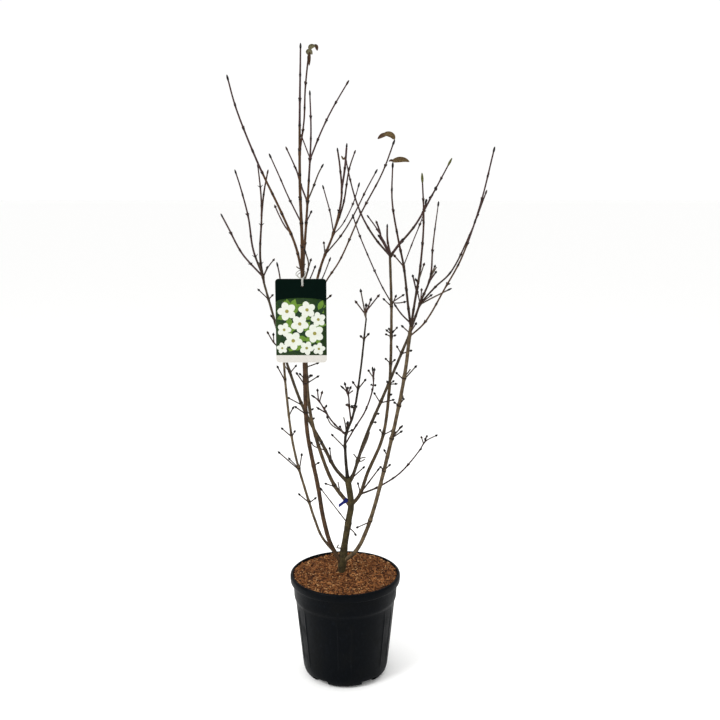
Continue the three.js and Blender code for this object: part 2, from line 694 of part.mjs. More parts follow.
// The tie goes through the card's hole from both sides and round the back of the stem
function addTie() {
  const { centre: stem, radius } = ringAt(limbs.stem_inner_left, TIE.height);
  const behind = radius + TIE.radius + CLEARANCE;
  const card = spread(CARD.centre);
  const hole = new THREE.Vector3(
    card.x - CARD.width / 2 + HOLE.fromLeft,
    card.y,
    card.z + CARD.height / 2 - HOLE.fromTop + HOLE.radius - TIE.radius - CLEARANCE,
  );
  const offset = (from, x, y, z) => new THREE.Vector3(from.x + x, from.y + y, from.z + z);
  const curve = new THREE.CatmullRomCurve3([
    hole,
    offset(hole, 0.4, -3, 0.2),
    offset(hole, 1.5, -3.6, 7),
    offset(hole, 2, -3, 18),
    offset(stem, TIE.loop, -6, -3),
    offset(stem, TIE.loop, 2, 0),
    offset(stem, 0, behind, 2),
    offset(stem, -TIE.loop, 1, 0),
    offset(stem, -TIE.loop + 4, -8, -4),
    offset(hole, -2, 3.4, 16),
    offset(hole, -1.5, 3.6, 7),
    offset(hole, -0.4, 3, 0.2),
  ], true);
  addMesh('label_tie', ring(curve, TIE.radius), COLOURS.tie);
}

function addTag() {
  const bough = limbs.bough_low_left;
  const { centre, radius } = ringAt(bough, TAG.height);
  const free = new THREE.BoxGeometry(TAG.free, TAG.thick, TAG.width);
  free.translate(-TAG.free / 2, 0, 0);
  free.rotateY(-TAG.slope);
  free.translate(centre.x, centre.y - radius - TAG.thick, centre.z);
  const pieces = [band(bough, TAG.height, TAG.band, TAG.thick * 1.5), () => toSolid(free.clone())];
  addClear('marker_tag', pieces, COLOURS.tag);
}

addPot();
addFill();
for (const [name, limb] of Object.entries(LIMBS)) addLimb(name, limb);

const crown = Object.entries(MASSES).map(([name, rows]) => {
  const shoots = growShoots(rows);
  const centres = shoots.flatMap(({ rings }) => rings.map(({ centre }) => centre));
  const space = new THREE.Box3().setFromPoints(centres);
  return { name, shoots, space, room: roomOf(shoots.map(({ solid }) => solid)) };
});
for (const mass of crown) addMass(mass, crown.filter((other) => other !== mass));
for (const [name, row] of Object.entries(SIDE_TWIGS)) addSideTwigs(name, row);
addCard();
addTie();
addTag();

export default group;
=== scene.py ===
import math
from bisect import bisect_left

import bmesh
import bpy
from mathutils import Euler, Matrix, Vector, noise
from mathutils.geometry import interpolate_bezier
from mathutils.kdtree import KDTree


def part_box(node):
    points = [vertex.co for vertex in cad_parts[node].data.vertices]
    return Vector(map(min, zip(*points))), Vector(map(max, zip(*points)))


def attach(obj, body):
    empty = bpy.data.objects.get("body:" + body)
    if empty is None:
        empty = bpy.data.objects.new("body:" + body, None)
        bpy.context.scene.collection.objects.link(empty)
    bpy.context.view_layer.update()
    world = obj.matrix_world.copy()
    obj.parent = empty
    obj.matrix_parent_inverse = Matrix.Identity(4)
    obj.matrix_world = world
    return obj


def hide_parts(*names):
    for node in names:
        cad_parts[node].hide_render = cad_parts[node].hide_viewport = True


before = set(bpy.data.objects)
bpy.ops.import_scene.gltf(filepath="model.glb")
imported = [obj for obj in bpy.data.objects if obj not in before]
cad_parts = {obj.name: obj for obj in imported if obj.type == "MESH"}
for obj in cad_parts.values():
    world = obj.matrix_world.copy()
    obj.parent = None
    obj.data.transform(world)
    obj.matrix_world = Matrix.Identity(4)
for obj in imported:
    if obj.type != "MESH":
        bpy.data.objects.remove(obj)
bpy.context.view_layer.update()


# The pot is a thin tub of black moulded plastic. Its tapered body steps out to a collar under a
# rolled rim, low ribs stiffen the body in pairs, and it stands on a pad and five feet with drain
# gaps between them. It is turned from its outline, and its ribs and gaps are pushed into the wall.
POT_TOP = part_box("pot")[1].z
RIM_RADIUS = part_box("pot")[1].x
WALL = 0.003
BODY_FOOT = (0.1245, 0.024)
BODY_TOP = (0.145, 0.226)
COLLAR_FOOT = (0.149, 0.234)
COLLAR_TOP = (0.1515, 0.280)
POT_FLOOR = 0.016
POT_OUTLINE = [
    # radius, height and rounding of each corner, from the pad up the outside and down the inside
    (0, 0, 0), (0.024, 0, 0.001), (0.024, POT_FLOOR, 0.001), (0.098, POT_FLOOR, 0.002),
    (0.098, 0, 0.0015), (0.106, 0, 0.002), (0.119, 0.008, 0.004), (*BODY_FOOT, 0.007),
    (*BODY_TOP, 0.0045), (*COLLAR_FOOT, 0.0045), (*COLLAR_TOP, 0.0015),
    (RIM_RADIUS - 0.0012, COLLAR_TOP[1], 0.002), (RIM_RADIUS, COLLAR_TOP[1] + 0.007, 0.003),
    (RIM_RADIUS, POT_TOP, 0.0055), (0.1525, POT_TOP, 0.003), (0.1485, 0.287, 0.002),
    (COLLAR_FOOT[0] - WALL, COLLAR_FOOT[1], 0.003), (BODY_TOP[0] - WALL, BODY_TOP[1], 0.003),
    (BODY_FOOT[0] - WALL, BODY_FOOT[1], 0.003), (0.116, POT_FLOOR + WALL, 0.002),
    (0, POT_FLOOR + WALL, 0),
]
POT_STEPS = 288
WALL_ROW = 0.012
MERGE_REACH = 1e-6
FEET = 5
FOOT_ARC = math.radians(48)
FOOT_INNER = 0.09
RIB_PAIRS = 6
RIB_SPREAD = math.radians(7.5)
RIB_HALF_WIDTH = math.radians(0.85)
RIB_DEPTH = 0.0018
RIB_FOOT = 0.044
RIB_TOP = 0.216
RIB_FADE = 0.012


class Socket:
    """An output of a shader node. A sum or product with another, or with a number, is Math nodes."""

    def __init__(self, finish, output):
        self.finish = finish
        self.output = output

    def maths(self, operation, first, second):
        return self.finish.node("ShaderNodeMath", {"operation": operation}, {0: first, 1: second})

    def __add__(self, other):
        return self.maths("ADD", self, other)

    def __rsub__(self, other):
        return self.maths("SUBTRACT", other, self)

    def __mul__(self, other):
        return self.maths("MULTIPLY", self, other)

    __radd__ = __add__
    __rmul__ = __mul__


class Finish:
    """A material, made node by node."""

    def __init__(self, name):
        self.material = bpy.data.materials.new(name)
        self.material.use_nodes = True
        self.tree = self.material.node_tree
        self.tree.nodes.clear()

    def node(self, kind, settings, sockets, output=0):
        """Adds a node, sets it, gives its sockets their values or links, and hands back an output."""
        node = self.tree.nodes.new(kind)
        for name, setting in settings.items():
            setattr(node, name, setting)
        for name, given in sockets.items():
            if isinstance(given, Socket):
                self.tree.links.new(given.output, node.inputs[name])
            else:
                node.inputs[name].default_value = given
        return Socket(self, node.outputs[output]) if node.outputs else None

    def place(self):
        return self.node("ShaderNodeTexCoord", {}, {}, "Object")

    def grain(self, scale, detail=3.0, vector=None):
        """Noise from 0 to 1 over the piece."""
        sockets = {"Vector": vector or self.place(), "Scale": scale, "Detail": detail}
        return self.node("ShaderNodeTexNoise", {}, sockets)

    def blend(self, factor, first, second):
        """A colour between two others."""
        sockets = {"Factor": factor, 6: first, 7: second}
        return self.node("ShaderNodeMix", {"data_type": "RGBA"}, sockets, 2)

    def spots(self, mask, low, high):
        """A mask with its middle range stretched to the whole of 0 to 1."""
        sockets = {"Value": mask, "From Min": low, "From Max": high}
        return self.node("ShaderNodeMapRange", {"clamp": True}, sockets)

    def bump(self, height, depth, strength=1.0):
        sockets = {"Height": height, "Distance": depth, "Strength": strength}
        return self.node("ShaderNodeBump", {}, sockets)

    def surface(self, sockets):
        shader = self.node("ShaderNodeBsdfPrincipled", {}, sockets)
        self.node("ShaderNodeOutputMaterial", {}, {"Surface": shader})
        return self


def tone(red, green, blue):
    """A paint colour from its 0 to 255 values on a screen."""
    channels = [channel / 255 for channel in (red, green, blue)]
    return (*[((c + 0.055) / 1.055) ** 2.4 if c > 0.04045 else c / 12.92 for c in channels], 1.0)


def face_outwards(shape):
    """Turns the faces of one closed shell outwards."""
    faces = shape.faces[:]
    shape.normal_update()
    bmesh.ops.recalc_face_normals(shape, faces=faces)
    middle = faces[0].calc_center_median()
    if sum((face.calc_center_median() - middle).dot(face.normal) * face.calc_area() for face in faces) < 0:
        bmesh.ops.reverse_faces(shape, faces=faces)


class Sheaf:
    """Many small closed shells of one kind, joined as one piece."""

    def __init__(self):
        self.shape = bmesh.new()

    def add(self, part):
        face_outwards(part)
        mesh = bpy.data.meshes.new("part")
        part.to_mesh(mesh)
        part.free()
        self.shape.from_mesh(mesh)
        bpy.data.meshes.remove(mesh)


def add_piece(name, shape, finish, nodes=(), sharp=None):
    """Makes a shell or a sheaf a piece that rides with the plant and stands for nodes of the frame."""
    mesh = bpy.data.meshes.new(name)
    if isinstance(shape, Sheaf):
        shape = shape.shape
    else:
        face_outwards(shape)
    shape.to_mesh(mesh)
    shape.free()
    mesh.materials.append(finish.material)
    mesh.shade_smooth()
    if sharp:
        mesh.set_sharp_from_angle(angle=math.radians(sharp))
    piece = bpy.data.objects.new(name, mesh)
    bpy.context.scene.collection.objects.link(piece)
    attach(piece, "root")
    if nodes:
        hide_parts(*nodes)
    return piece


def turned(outline, steps, row):
    """A solid turned from an outline of (radius, height, rounding), with rows along its long walls."""
    shape = bmesh.new()
    corners = [shape.verts.new((radius, 0, height)) for radius, height, _ in outline]
    for pair in zip(corners, corners[1:]):
        shape.edges.new(pair)
    for corner, (_, _, rounding) in zip(corners, outline):
        if rounding:
            bmesh.ops.bevel(shape, geom=[corner], offset=rounding, segments=3, profile=0.5,
                            affect="VERTICES", material=-1)
    for edge in shape.edges[:]:
        cuts = int(edge.calc_length() / row)
        if cuts:
            bmesh.ops.subdivide_edges(shape, edges=[edge], cuts=cuts)
    bmesh.ops.spin(shape, geom=shape.verts[:] + shape.edges[:], cent=(0, 0, 0), axis=(0, 0, 1),
                   angle=math.tau, steps=steps, use_merge=True)
    bmesh.ops.remove_doubles(shape, verts=shape.verts[:], dist=MERGE_REACH)
    return shape


def turn_from(angle, count, index, start=-math.pi / 2):
    """How far an angle is from one of several even places round the pot."""
    away = angle - start - math.tau * index / count
    return (away + math.pi) % math.tau - math.pi


def cut_foot_gaps(shape):
    for vert in shape.verts:
        if vert.co.xy.length < FOOT_INNER or vert.co.z > POT_FLOOR:
            continue
        angle = math.atan2(vert.co.y, vert.co.x)
        if min(abs(turn_from(angle, FEET, foot)) for foot in range(FEET)) > FOOT_ARC / 2:
            vert.co.z = POT_FLOOR
    bmesh.ops.remove_doubles(shape, verts=shape.verts[:], dist=MERGE_REACH)


def raise_ribs(shape):
    slope = (BODY_TOP[0] - BODY_FOOT[0]) / (BODY_TOP[1] - BODY_FOOT[1])
    for vert in shape.verts:
        radius = vert.co.xy.length
        outside = BODY_FOOT[0] + slope * (vert.co.z - BODY_FOOT[1])
        if abs(radius - outside) > WALL / 2 or not RIB_FOOT < vert.co.z < RIB_TOP:
            continue
        angle = math.atan2(vert.co.y, vert.co.x)
        away = min(abs(abs(turn_from(angle, RIB_PAIRS, pair)) - RIB_SPREAD) for pair in range(RIB_PAIRS))
        end = min(vert.co.z - RIB_FOOT, RIB_TOP - vert.co.z, RIB_FADE) / RIB_FADE
        rise = RIB_DEPTH * math.exp(-((away / RIB_HALF_WIDTH) ** 2)) * end
        vert.co.xy *= (radius + rise) / radius


def dry_finish(name, light, dark, grain, spread, roughness, gloss, relief, strength=1.0):
    """A dull surface of fine fibres or crumbs, mottled in tone, with painted shade dark between them and a
    lighter tone on their tops.
    """
    finish = Finish(name)
    # one noise gives both the relief and the colour: painted shade in its hollows, lighter on its tops
    fibres = finish.grain(*grain)
    return finish.surface({
        "Base Color": finish.blend(finish.spots(fibres, *spread), dark, light),
        "Roughness": roughness,
        "Specular IOR Level": gloss,
        "Normal": finish.bump(fibres, relief, strength),
    })


def plastic():
    """Black moulded plastic: a satin skin with a fine mould grain, scuffs and a little dust."""
    finish = Finish("black_plastic")
    dust = finish.spots(finish.grain(16.0, 6.0), 0.5, 0.75)
    scuffs = finish.spots(finish.grain(140.0, 4.0), 0.56, 0.7)
    skin = finish.blend(dust * 0.2, tone(1, 3, 6), tone(26, 25, 20))
    skin = finish.blend(scuffs * 0.15, skin, tone(26, 31, 38))
    mould = finish.grain(1500.0, 2.0) + finish.grain(90.0, 2.0) * 0.6
    return finish.surface({
        "Base Color": skin,
        "Roughness": 0.36 + dust * 0.25 + finish.grain(60.0) * 0.12,
        "Normal": finish.bump(mould, 0.0003, 0.5),
        "Specular IOR Level": 0.045,
    })


pot = turned(POT_OUTLINE, POT_STEPS, WALL_ROW)
cut_foot_gaps(pot)
raise_ribs(pot)
add_piece("pot_tub", pot, plastic(), ["pot"], sharp=50)


# Potting soil fills the pot under the mulch. It hardly shows, and keeps its solid from the frame,
# with a dark crumbly finish.
soil = dry_finish("potting_soil_crumbs", tone(74, 54, 38), tone(38, 27, 19),
                  (240.0, 8.0), (0, 1), 0.95, 0.1, 0.002)
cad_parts["potting_soil"].data.materials.clear()
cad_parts["potting_soil"].data.materials.append(soil.material)


# The mulch is shredded bark: reddish brown chips and slivers that lie at all angles on a bed of
# finer crumbs, darker where damp and pale where the wood shows. Each shade is one joined piece.
MULCH_LOW, MULCH_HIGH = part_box("bark_mulch")
BED_RADIUS = 0.1505
BED_FOOT_RADIUS = 0.1475
BED_EDGE = 0.2985
BED_MIDDLE = 0.3035
BED_DIP = 0.005
BED_DIP_PLACE = Vector((-0.09, 0.11))
BED_DIP_REACH = 0.05
BED_LUMPS = (22, 0.0016)   # how fine and how high
BED_CRUMBS = (160, 0.0012)
BED_ROW = 0.0035
BED_STEPS = 120
CHIP_REACH = 0.1485
CHIP_LENGTH = (0.004, 0.015)
CHIP_SHORTNESS = 1.6
CHIP_WIDTH = (0.0012, 0.0042)
CHIP_THICK = (0.0006, 0.0018)
CHIP_LIFT = 0.0022
CHIP_TILT = 0.32
CHIP_WARP = (900, 0.0009)
CHIP_SEED = 4021
CHIPS = {
    # how many chips there are of each shade, and its colour
    "red_brown": (1300, tone(126, 78, 41)),
    "brown": (1200, tone(103, 63, 35)),
    "dark": (800, tone(66, 38, 21)),
    "tan": (800, tone(152, 101, 58)),
    "pale": (320, tone(186, 142, 96)),
}


def seeded(seed):
    """A repeatable row of numbers from 0 to 1."""
    state = seed
    while True:
        state = state * 16807 % 2147483647
        yield state / 2147483647


def between(low, high, part):
    return low + (high - low) * part


def mulch_height(place):
    """The bed is a little domed and uneven, and has sunk by the rim at the back on the left."""
    dome = between(BED_MIDDLE, BED_EDGE, (place.length / BED_RADIUS) ** 3)
    dip = BED_DIP * math.exp(-(((place - BED_DIP_PLACE).length / BED_DIP_REACH) ** 2))
    fineness, size = BED_LUMPS
    return dome - dip + noise.noise(Vector((*place, 0)) * fineness) * size


def mulch_bed():
    foot = MULCH_LOW.z
    outline = [(0, foot, 0), (BED_FOOT_RADIUS, foot, 0), (BED_RADIUS, BED_EDGE, 0), (0, BED_MIDDLE, 0)]
    shape = turned(outline, BED_STEPS, BED_ROW)
    fineness, size = BED_CRUMBS
    for vert in shape.verts:
        if vert.co.z > BED_EDGE - BED_ROW / 4:
            vert.co.z = mulch_height(vert.co.xy) + noise.fractal(vert.co * fineness, 1.0, 2.0, 4) * size
    return shape


def warp(shape, fineness, size):
    """Pushes each place of a shape a little its own way."""
    for vert in shape.verts:
        vert.co += noise.noise_vector(vert.co * fineness) * size


def bark_chips(count, draw):
    """Many small slabs of torn bark, laid over the bed and warped so that no two are alike."""
    chips = Sheaf()
    for _ in range(count):
        reach = CHIP_REACH * math.sqrt(next(draw))
        place = Matrix.Rotation(math.tau * next(draw), 2) @ Vector((reach, 0))
        length = between(*CHIP_LENGTH, next(draw) ** CHIP_SHORTNESS)
        size = Vector((length, between(*CHIP_WIDTH, next(draw)), between(*CHIP_THICK, next(draw))))
        tilt = [CHIP_TILT * (next(draw) + next(draw) - 1) * 2 for _ in range(2)]
        turn = Euler((tilt[0], tilt[1], math.tau * next(draw))).to_matrix().to_4x4()
        middle = Vector((*place, mulch_height(place) + CHIP_LIFT * next(draw)))
        matrix = Matrix.Translation(middle) @ turn @ Matrix.Diagonal((*size, 1))
        chip = bmesh.new()
        bmesh.ops.create_cube(chip, size=1, matrix=matrix)
        warp(chip, *CHIP_WARP)
        for vert in chip.verts:
            reach = vert.co.xy.length
            if reach > BED_RADIUS:
                vert.co.xy *= BED_RADIUS / reach
        chips.add(chip)
    return chips


def chip_finish(name, colour):
    """Torn bark, half as dark between its fibres, where the shade is painted into the colour."""
    shade = (*[channel / 2 for channel in colour[:3]], 1.0)
    return dry_finish(name, colour, shade, (420.0, 5.0), (0.3, 0.7), 0.85, 0.1, 0.0006)


noise.seed_set(CHIP_SEED)   # for the warp of the chips here, and of the tape further on
crumbs = chip_finish("mulch_crumbs", tone(66, 40, 24))
add_piece("mulch_bed", mulch_bed(), crumbs, ["bark_mulch"])
chip_draw = seeded(CHIP_SEED)
for shade, (chip_count, chip_colour) in CHIPS.items():
    chips = bark_chips(chip_count, chip_draw)
    add_piece(f"mulch_chips_{shade}", chips, chip_finish(f"bark_chips_{shade}", chip_colour),
              sharp=30)


# The trunk rises from a swollen root collar, and slender stems and boughs grow from it one after
# another. Each limb is a round stem of living wood that tapers to its tip, with lumps, old scars and
# fine cracks in its bark, and a collar where it leaves the limb that carries it.
MM = 0.001
EYE = Vector((0.043, -2.473, 1.388))
FULLNESS = 1.3
LIMB_STEP = 0.006
TRUNK_SIDES = 32
BOUGH_SIDES = 20
CURVE_STEPS = 32
LEADER_TAPER = 0.6
COLLAR = 0.22
COLLAR_REACH = 0.016
SWELLING_REACH = 0.005
LUMP_SIZE, LUMP_FINENESS = 0.00045, Vector((90, 90, 45))
CRACK_DEPTH, CRACK_FINENESS = 0.00022, Vector((420, 420, 110))
ROOT_FLARE = [(0, 1.4), (20, 1), (40, 2.4), (57, 3.4), (72, 2.4), (90, 1), (115, 0)]
LIMBS = {
    # Places are [x, height, depth] in millimetres, in the upright plane of the trunk as seen from
    # the eye point: what it grows on, the height there, its radius at foot and tip, its bends
    "trunk": (None, 0, (9.6, 8.8), [(-13, 284, 0), (-4, 370, 0), (10, 460, 0), (17, 508, 0), (7, 590, 0)]),
    "stem_inner_left": ("trunk", 326, (6.5, 4.6), [
        (-42, 388, -12), (-63, 468, -20), (-77, 560, -28), (-107, 730, -35), (-112, 900, -38),
        (-116, 1182, -40)]),
    "stem_outer_left": ("stem_inner_left", 360, (4, 3.2), [
        (-67, 410, -2), (-87, 462, 8), (-104, 518, 14), (-145, 675, 26), (-166, 860, 34),
        (-170, 940, 38)]),
    "stem_right": ("trunk", 334, (6, 4.6), [
        (30, 366, -14), (66, 442, -32), (116, 630, -58), (166, 875, -70), (184, 1026, -74)]),
    "bough_low_left": ("trunk", 503, (5.5, 4.1), [
        (-29, 564, 4), (-67, 658, 8), (-97, 777, 12), (-107, 900, 10), (-107, 1020, 8)]),
    "bough_low_right": ("trunk", 506, (5.1, 3.7), [
        (41, 536, 10), (64, 602, 28), (106, 705, 52), (124, 830, 70), (130, 1061, 96), (125, 1219, 108)]),
    "bough_high_left": ("trunk", 574, (5.2, 3.2), [
        (-29, 619, 28), (-60, 681, 52), (-113, 785, 86), (-154, 899, 110), (-201, 1071, 136),
        (-221, 1147, 150)]),
    "bough_high_right": ("trunk", 568, (4.9, 3.8), [
        (24, 600, 4), (56, 701, 8), (112, 837, 12), (149, 927, 6), (177, 996, 0)]),
    "leader": ("trunk", 588, (5, 2.2), [
        (2, 650, -14), (2, 712, -34), (24, 775, -62), (44, 898, -100), (60, 1048, -135)]),
}


def spread(place):
    """Moves a place in the plane of the trunk along the line of sight to its depth."""
    x, height, depth = (size * MM for size in place)
    y = depth * FULLNESS
    reach = (y - EYE.y) / -EYE.y
    return Vector((EYE.x + (x - EYE.x) * reach, y, EYE.z + (height - EYE.z) * reach))


def outline_height(point):
    """The height that a point of the plant has in the plane of the trunk."""
    return EYE.z + (point.z - EYE.z) * -EYE.y / (point.y - EYE.y)


def smooth_path(knots):
    """Close points along the centripetal curve through the knots."""
    ends = [knots[0] * 2 - knots[1], *knots, knots[-1] * 2 - knots[-2]]
    points = []
    for before, start, end, after in zip(ends, ends[1:], ends[2:], ends[3:]):
        first, span, last = (math.sqrt((b - a).length) for a, b in
                             ((before, start), (start, end), (end, after)))
        leave = (start - before) / first - (end - before) / (first + span) + (end - start) / span
        arrive = (end - start) / span - (after - start) / (span + last) + (after - end) / last
        handles = start + leave * span / 3, end - arrive * span / 3
        points += interpolate_bezier(start, *handles, end, CURVE_STEPS + 1)[:-1]
    return [*points, knots[-1]]


class Path:
    """A row of close points, with the distance along it to each."""

    def __init__(self, points):
        self.points = points
        self.marks = [0.0]
        for start, end in zip(points, points[1:]):
            self.marks.append(self.marks[-1] + (end - start).length)
        self.length = self.marks[-1]

    def at(self, along):
        """The point a distance along the path, and the direction there."""
        row = min(max(bisect_left(self.marks, along), 1), len(self.marks) - 1)
        start, end = self.points[row - 1], self.points[row]
        part = (along - self.marks[row - 1]) / (self.marks[row] - self.marks[row - 1])
        return start.lerp(end, part), (end - start).normalized()

    def reaching(self, height):
        """How far along the path its outline first reaches a height, in millimetres."""
        for row, point in enumerate(self.points):
            if outline_height(point) >= height * MM:
                return self.marks[row]
        return self.length


class Stem(Path):
    """A limb or a shoot: its path, its thickness at foot and tip, and the nodes that swell it."""

    def __init__(self, knots, foot, tip, taper=1.0):
        super().__init__(smooth_path(knots))
        self.foot = foot
        self.tip = tip
        self.taper = taper
        self.nodes = []

    def radius(self, along):
        radius = between(self.foot, self.tip, min(1.0, max(0.0, along / self.length)) ** self.taper)
        for node, swell in self.nodes:
            radius += swell * math.exp(-(((along - node) / SWELLING_REACH) ** 2))
        return radius

    def rows(self, step, start=0.0, end=None):
        """Points and radii at even steps from a start to an end."""
        end = end or self.length
        count = max(2, round((end - start) / step))
        alongs = [between(start, end, row / count) for row in range(count + 1)]
        return [self.at(along)[0] for along in alongs], [self.radius(along) for along in alongs]


def carried(points, radii):
    """A turn, place and size for each point of a path, carried along it without twisting."""
    frames = []
    side = (points[1] - points[0]).orthogonal()
    last = len(points) - 1
    for row, (point, radius) in enumerate(zip(points, radii)):
        ahead = (points[min(row + 1, last)] - points[max(row - 1, 0)]).normalized()
        side = (side - ahead * side.dot(ahead)).normalized()
        turn = Matrix((side, ahead.cross(side), ahead)).transposed().to_4x4()
        frames.append(Matrix.Translation(point) @ turn @ Matrix.Diagonal((radius, radius, radius, 1)))
    return frames


def tube(points, radii, sides):
    """A closed round tube: a ring of edges that is extruded from point to point."""
    shape = bmesh.new()
    frames = carried(points, radii)
    bmesh.ops.create_circle(shape, cap_ends=True, segments=sides, radius=1, matrix=frames[0])
    ring = shape.edges[:]
    for before, after in zip(frames, frames[1:]):
        grown = bmesh.ops.extrude_edge_only(shape, edges=ring)["geom"]
        ring = [part for part in grown if isinstance(part, bmesh.types.BMEdge) and part.is_boundary]
        verts = [part for part in grown if isinstance(part, bmesh.types.BMVert)]
        bmesh.ops.transform(shape, matrix=after @ before.inverted(), verts=verts)
    bmesh.ops.edgeloop_fill(shape, edges=ring)
    return shape


def flare(rise):
    """How much thicker the trunk is at a rise above its foot."""
    for (low, thick), (high, thin) in zip(ROOT_FLARE, ROOT_FLARE[1:]):
        if low * MM <= rise <= high * MM:
            return between(thick, thin, (rise / MM - low) / (high - low)) * MM
    return 0.0


def grow_limb(name):
    on, height, (foot, tip), way = LIMBS[name]
    start = [limbs[on].at(limbs[on].reaching(height))[0]] if on else []
    taper = LEADER_TAPER if name == "leader" else 1.0
    return Stem(start + [spread(place) for place in way], foot * MM, tip * MM, taper)


def limb_shape(name, stem):
    """The limb with its collar or root flare, and the relief of its bark."""
    points, radii = stem.rows(LIMB_STEP)
    step = stem.length / (len(points) - 1)
    for row, radius in enumerate(radii):
        if name == "trunk":
            radii[row] = radius + flare(row * step)
        else:
            radii[row] = radius * (1 + COLLAR * math.exp(-row * step / COLLAR_REACH))
    shape = tube(points, radii, TRUNK_SIDES if name == "trunk" else BOUGH_SIDES)
    shape.normal_update()
    for vert in shape.verts:
        lumps = noise.noise(vert.co * LUMP_FINENESS) * LUMP_SIZE
        cracks = noise.fractal(vert.co * CRACK_FINENESS, 1.0, 2.0, 3) * CRACK_DEPTH
        vert.co += vert.normal * (lumps + cracks)
    if name == "trunk":
        ground = MULCH_LOW.z + (MULCH_HIGH.z - MULCH_LOW.z) / 2
        geom = shape.verts[:] + shape.edges[:] + shape.faces[:]
        cut = bmesh.ops.bisect_plane(shape, geom=geom, plane_co=(0, 0, ground), plane_no=(0, 0, 1),
                                     clear_inner=True)["geom_cut"]
        rim = [part for part in cut if isinstance(part, bmesh.types.BMEdge)]
        bmesh.ops.edgeloop_fill(shape, edges=rim)
    return shape


def bark(name, light, dark, scars):
    """Thin bark: mottled olive and brown, with pale pores, fine upright cracks and dull scars."""
    finish = Finish(name)
    stretched = finish.node("ShaderNodeMapping", {}, {"Vector": finish.place(), "Scale": (1, 1, 0.3)})
    mottle = finish.grain(70.0, 5.0)
    cracks = finish.grain(520.0, 6.0, stretched)
    pores = finish.spots(finish.grain(900.0, 1.0), 0.66, 0.74)
    colour = finish.blend(finish.spots(mottle, 0.35, 0.65), dark, light)
    colour = finish.blend(finish.spots(cracks, 0.52, 0.7) * 0.6, colour, scars)
    colour = finish.blend(pores * 0.4, colour, tone(126, 114, 86))
    return finish.surface({
        "Base Color": colour,
        "Roughness": 0.78 - pores * 0.1,
        "Specular IOR Level": 0.15,
        "Normal": finish.bump(cracks + mottle * 0.5, 0.0007, 0.8),
    })


limbs = {}
for limb_name in LIMBS:
    limbs[limb_name] = grow_limb(limb_name)


# Each limb is one piece. The old wood of the trunk is olive brown and rough, and the boughs are
# smoother, browner and thinner barked. Where twigs leave a limb, its bark swells to a ring, so the
# places of its short twigs come before its mesh.
SWELLING = 0.0013
FINE_SWELLING = 0.6
BARKS = {
    # the light and dark wood and the scars of each bark, and the limbs that have it
    "trunk_bark": (tone(66, 58, 33), tone(39, 33, 18), tone(28, 21, 13), ["trunk"]),
    "outer_stem_bark": (tone(93, 79, 58), tone(60, 49, 36), tone(37, 28, 20),
                        ["stem_outer_left", "stem_right"]),
    "low_bough_bark": (tone(82, 67, 47), tone(53, 43, 30), tone(33, 25, 18),
                       ["bough_low_left", "bough_low_right"]),
    "high_bough_bark": (tone(66, 56, 40), tone(41, 34, 25), tone(28, 21, 16),
                        ["bough_high_left", "bough_high_right"]),
    "leader_bark": (tone(40, 33, 25), tone(25, 21, 16), tone(18, 13, 10), ["leader"]),
    "reddish_bough_bark": (tone(76, 55, 37), tone(47, 33, 22), tone(31, 20, 14), ["stem_inner_left"]),
}
SIDE_TWIGS = {
    # on each limb, the height of a node, now and then a thickness at foot and tip in millimetres,
    # and the tips of the twigs that stand there
    "stem_outer_left": [
        (517, [-136, 543, 2], [-81, 531, 34]), (615, [-192, 668, 8], [-122, 664, 30]),
        (713, [-182, 738, 44], [-140, 730, 14]), (875, [-190, 917, 22]),
    ],
    "stem_inner_left": [(777, [-143, 800, -56]), (860, [-137, 898, -58])],
    "bough_low_left": [(564, [-60, 573, 22]), (866, [-70, 888, 30])],
    "bough_high_left": [
        (637, [-44, 681, 12]), (806, [-163, 826, 74]), (898, [-133, 919, 130], [-173, 923, 96]),
        (1104, [-240, 1132, 128], [-195, 1117, 156]),
    ],
    "leader": [(680, [-40, 720, -8]), (851, [20, 873, -74], [61, 879, -104])],
    "bough_high_right": [
        (590, [58, 624, -10]), (809, [81, 841, 34], [142, 819, -8]),
        (953, [144, 974, 24], [190, 960, -18]),
    ],
    "bough_low_right": [
        (717, [98, 733, 34], [137, 730, 76]), (918, [112, 938, 62], [143, 935, 98]),
        (1082, [105, 1106, 116], [144, 1116, 84]), (546, [36, 577, 40], [100, 620, -10]),
    ],
    "stem_right": [
        (459, [30, 437, -58]), (609, [99, 624, -72], [132, 631, -42]), (705, [165, 729, -76]),
        (798, [137, 812, -86], [165, 831, -52]), (877, [142, 898, -92], [203, 918, -52]),
    ],
    "trunk": [(452, (1.8, 1.5), [-72, 560, -66])],
}
